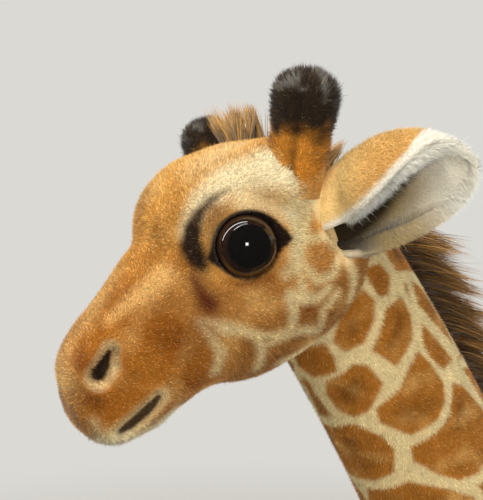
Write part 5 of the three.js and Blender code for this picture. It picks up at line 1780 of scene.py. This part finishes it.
# Board under matt paint: even and dull, so that the toy's own shadow is all that shows on it
painted, tree = start_material("matt_painted_board")
tone = grain_ramp(tree, add_noise(tree, 1000 / FLOOR_GRAINS_PER_METRE, 5.0), FLOOR, ((0, 0.97), (1, 1.03)))
board = add_node(tree, "BsdfPrincipled", {"Roughness": 0.85, "Specular IOR Level": 0.1}, Base_Color=tone)
place = add_node(tree, "TexCoord")
reach = add_node(tree, "VectorMath", {"operation": "LENGTH"}, (place.outputs["Object"],))
fade = add_node(tree, "MapRange", {
    "From Min": FADE_START, "From Max": FLOOR_RADIUS * 0.97, "interpolation_type": "SMOOTHSTEP",
}, Value=reach.outputs["Value"])
mix = add_node(tree, "MixShader", {}, (fade, board, add_node(tree, "BsdfTransparent")))
add_node(tree, "OutputMaterial", Surface=mix)
floor_data.materials.append(painted)

# %% Lamps
def soft_lamp(name, toward, distance, size, height, level, colour=(1, 1, 1)):
    """A rectangular lamp that looks at the head. Level is what it adds to a white surface that faces it."""
    lamp_data = bpy.data.lights.new(name, "AREA")
    lamp_data.shape = "RECTANGLE"
    lamp_data.size, lamp_data.size_y = size, height
    lamp_data.energy = level * (math.pi * distance) ** 2
    lamp_data.color = colour
    toward = unit(toward)
    side = unit(np.cross(back, toward) + 1e-6 * right)
    place = head_to_toy(EYE_IN_HEAD) * MM + toward * distance
    return put(name, lamp_data, (side, np.cross(toward, side), toward), place)


key = soft_lamp("key", 0.85 * back - 0.25 * right + 0.95 * up, 1.3, 0.9, 0.7, 0.88, (1, 0.98, 0.945))
fill = soft_lamp("fill", 0.9 * back + 0.6 * right + 0.1 * up, 1.6, 1.2, 1.2, 0.28, (1, 0.975, 0.93))
rear = soft_lamp("rear", -0.9 * back - 0.1 * right + 0.9 * up, 1.6, 1.2, 1.0, 0.3)
soft_lamp("eye_point", 1.0 * back + 0.2 * right + 0.02 * up, 0.5, 0.036, 0.036, 0.07)
soft_lamp("eye_glow", 1.0 * back + 0.2 * right + 0.02 * up, 0.52, 0.08, 0.08, 0.05)
soft_lamp("eye_arc", 0.3 * back - 0.6 * right + 0.85 * up, 0.5, 0.9, 0.035, 0.5)
for lamp in (key, fill, rear, floor):
    lamp.visible_glossy = False  # the eyes mirror only the three small lamps, as in the photograph

# %% Backdrop
WORLD_LEVEL, MIRRORED_LEVEL = 0.56, 0.05
world = bpy.data.worlds.new("studio")
bpy.context.scene.world = world
world.use_nodes = True
tree = world.node_tree
tree.nodes.clear()
ray = add_node(tree, "LightPath")
light = add_node(tree, "Background", {"Color": (1, 0.985, 0.95, 1), "Strength": WORLD_LEVEL})
dim = add_node(tree, "Background", {"Color": (1, 1, 1, 1), "Strength": MIRRORED_LEVEL})
seen = add_node(tree, "Background", {"Color": (*linear(BACKDROP), 1), "Strength": 1.0})
lit = add_node(tree, "MixShader", {}, (ray.outputs["Is Glossy Ray"], light, dim))
shown = add_node(tree, "MixShader", {}, (ray.outputs["Is Camera Ray"], lit, seen))
add_node(tree, "OutputWorld", Surface=shown)
bpy.context.scene.view_settings.view_transform = "Standard"
